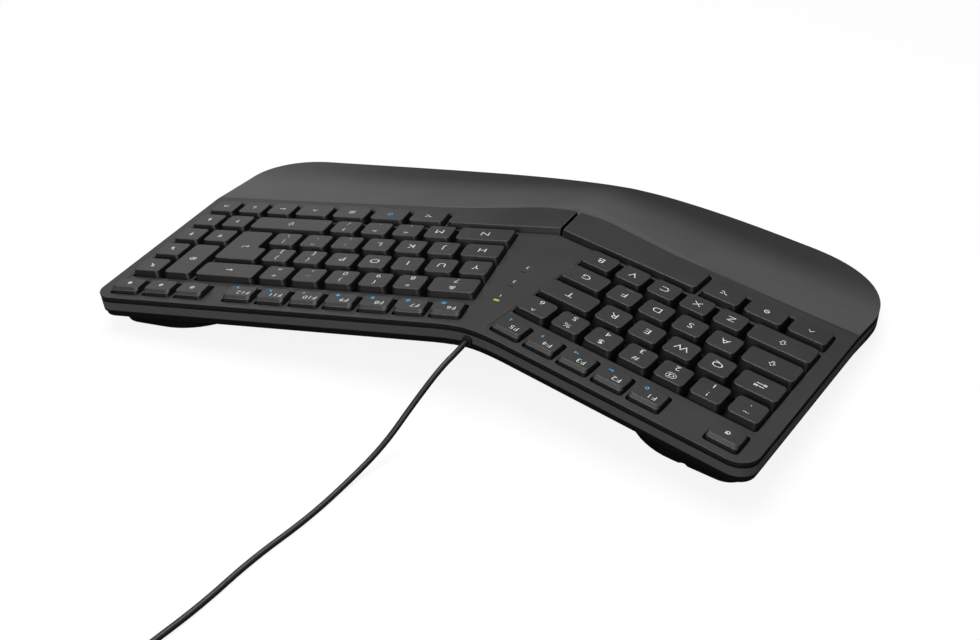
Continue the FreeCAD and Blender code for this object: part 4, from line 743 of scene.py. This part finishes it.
def spots_under_keys(flat, centres, crown):
    """The domes' middles under the stems of each node of keys."""
    under_keys = {}
    for key in KEY_NODES:
        ends = [flat @ v.co for v in NODES[key].data.vertices]
        ends = [p for p in ends if p.z < crown + STEM_GAP]
        for x, y in centres:
            if any(abs(p.x - x) < STEM_REACH and abs(p.y - y) < STEM_REACH for p in ends):
                under_keys.setdefault(key, []).append((x, y))
    return under_keys


def dome_mat(side, node):
    flat = FIELD[side].inverted()
    points = [flat @ v.co for v in NODES[node].data.vertices]
    low, high = min(p.z for p in points), max(p.z for p in points)
    centres = middles([p for p in points if p.z > high - CROWN])
    for key, spots in spots_under_keys(flat, centres, high).items():
        def domes(shape):
            for x, y in spots:
                add_dome(shape, x, y, low)
        piece = rubber_piece("domes_" + key, domes, side, node)
        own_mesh(piece)

    def sheet(shape):
        """The mat's own faces away from its domes, with their openings closed."""
        shape.from_mesh(NODES[node].data)
        shape.transform(flat)
        reach = DOME_BASE / 2 + SEAM_REACH
        for x, y in centres:
            inside = {v for v in shape.verts if (v.co.x - x) ** 2 + (v.co.y - y) ** 2 < reach ** 2}
            faces = [f for f in shape.faces if all(v in inside for v in f.verts)]
            bmesh.ops.delete(shape, geom=faces, context="FACES")
        bmesh.ops.remove_doubles(shape, verts=shape.verts, dist=0.001 * MM)
        bmesh.ops.holes_fill(shape, edges=[e for e in shape.edges if e.is_boundary], sides=0)

    rubber_piece(node + "_sheet", sheet, side, node)


dome_mat(-1, "dome_mat_left")
dome_mat(1, "dome_mat_right")


# Pale floor and soft studio light

PAPER = 0.5                 # the floor's level where it lights the object
PAPER_SEEN = 0.92           # to the camera
PAPER_MIRRORED = -0.46      # added where a surface mirrors it
WHITE_NEAR = (0.45, 0.85)   # distance in metres and share of plain white to the camera
WHITE_FAR = (1.1, 1.0)
FLOOR_HALF = 6


def floor_material():
    """Matt pale paper: it keeps the object's soft shadow, and turns white to the camera away from the object."""
    material, tree, place = new_material("white_paper")
    fibre = add_node(tree, "TexNoise", {"Vector": place, "Scale": 200.0})
    path = add_node(tree, "LightPath")
    pale = add_node(tree, "MapRange", {"Value": path.outputs["Is Camera Ray"], "To Min": PAPER, "To Max": PAPER_SEEN})
    dimmed = add_node(tree, "MapRange", {"Value": path.outputs["Is Glossy Ray"], "To Min": 0.0,
                                         "To Max": PAPER_MIRRORED})
    tone = add_node(tree, "MapRange", {"Value": fibre.outputs["Fac"], "To Min": 0.0, "To Max": 0.02})
    level = add_node(tree, "Math", {0: pale.outputs[0], 1: tone.outputs[0]}, operation="ADD").outputs[0]
    level = add_node(tree, "Math", {0: level, 1: dimmed.outputs[0]}, operation="ADD").outputs[0]
    colour = add_node(tree, "CombineColor", {"Red": level, "Green": level, "Blue": level})
    paper = add_node(tree, "BsdfDiffuse", {"Color": colour.outputs[0]})
    white = add_node(tree, "Emission", {"Color": (1, 1, 1, 1), "Strength": 1.0})
    away = add_node(tree, "VectorMath", {0: place}, operation="LENGTH").outputs["Value"]
    whiter = add_node(tree, "MapRange", {"Value": away, "From Min": WHITE_NEAR[0], "From Max": WHITE_FAR[0],
                                         "To Min": WHITE_NEAR[1], "To Max": WHITE_FAR[1]}).outputs[0]
    share = add_node(tree, "Math", {0: path.outputs["Is Camera Ray"], 1: whiter}, operation="MULTIPLY")
    mixed = add_node(tree, "MixShader", {0: share.outputs[0], 1: paper.outputs[0], 2: white.outputs[0]})
    add_node(tree, "OutputMaterial", {"Surface": mixed.outputs[0]})
    return material


def floor():
    data = bpy.data.meshes.new("floor")
    corners = [(x * FLOOR_HALF, y * FLOOR_HALF, 0) for x, y in ((-1, -1), (1, -1), (1, 1), (-1, 1))]
    data.from_pydata(corners, [], [(0, 1, 2, 3)])
    data.materials.append(floor_material())
    piece = bpy.data.objects.new("floor", data)
    bpy.context.scene.collection.objects.link(piece)


def studio_world():
    """Plain surroundings, white to the camera. Where they light the object they are dimmer near the horizon."""
    world = bpy.data.worlds.new("studio")
    world.use_nodes = True
    tree = world.node_tree
    tree.nodes.clear()
    way = add_node(tree, "SeparateXYZ", {"Vector": add_node(tree, "TexCoord").outputs["Generated"]})
    height = add_node(tree, "MapRange", {"Value": way.outputs["Z"], "From Min": 0.2, "From Max": 0.75,
                                         "To Min": 0.02, "To Max": 0.5})
    path = add_node(tree, "LightPath")
    seen = add_node(tree, "Math", {0: path.outputs["Is Camera Ray"], 1: path.outputs["Is Transmission Ray"]},
                    operation="MAXIMUM")
    strength = add_node(tree, "Mix", {"Factor": seen.outputs[0], "A": height.outputs[0], "B": 1.0})
    sky = add_node(tree, "Background", {"Color": (1, 1, 1, 1), "Strength": strength.outputs[0]})
    add_node(tree, "OutputWorld", {"Surface": sky.outputs[0]})
    bpy.context.scene.world = world


def softbox(name, place, target, width, height, power):
    """Rectangular lamp that faces a target, in metres and watts."""
    data = bpy.data.lights.new(name, "AREA")
    data.shape = "RECTANGLE"
    data.size, data.size_y = width, height
    data.energy = power
    lamp = bpy.data.objects.new(name, data)
    bpy.context.scene.collection.objects.link(lamp)
    lamp.location = place
    lamp.rotation_euler = (Vector(target) - Vector(place)).to_track_quat("-Z", "Y").to_euler()


floor()
studio_world()
softbox("overhead", (0.1, -0.05, 1.1), (0, 0, 0), 0.8, 0.6, 8.4)
softbox("rear", (-0.2, 1.5, 0.8), (0, 0, 0.02), 1.4, 0.8, 18.0)
softbox("side", (1.0, -0.75, 0.45), (0.1, 0, 0.03), 0.7, 0.4, 1.0)

bpy.context.scene.view_settings.view_transform = "Standard"
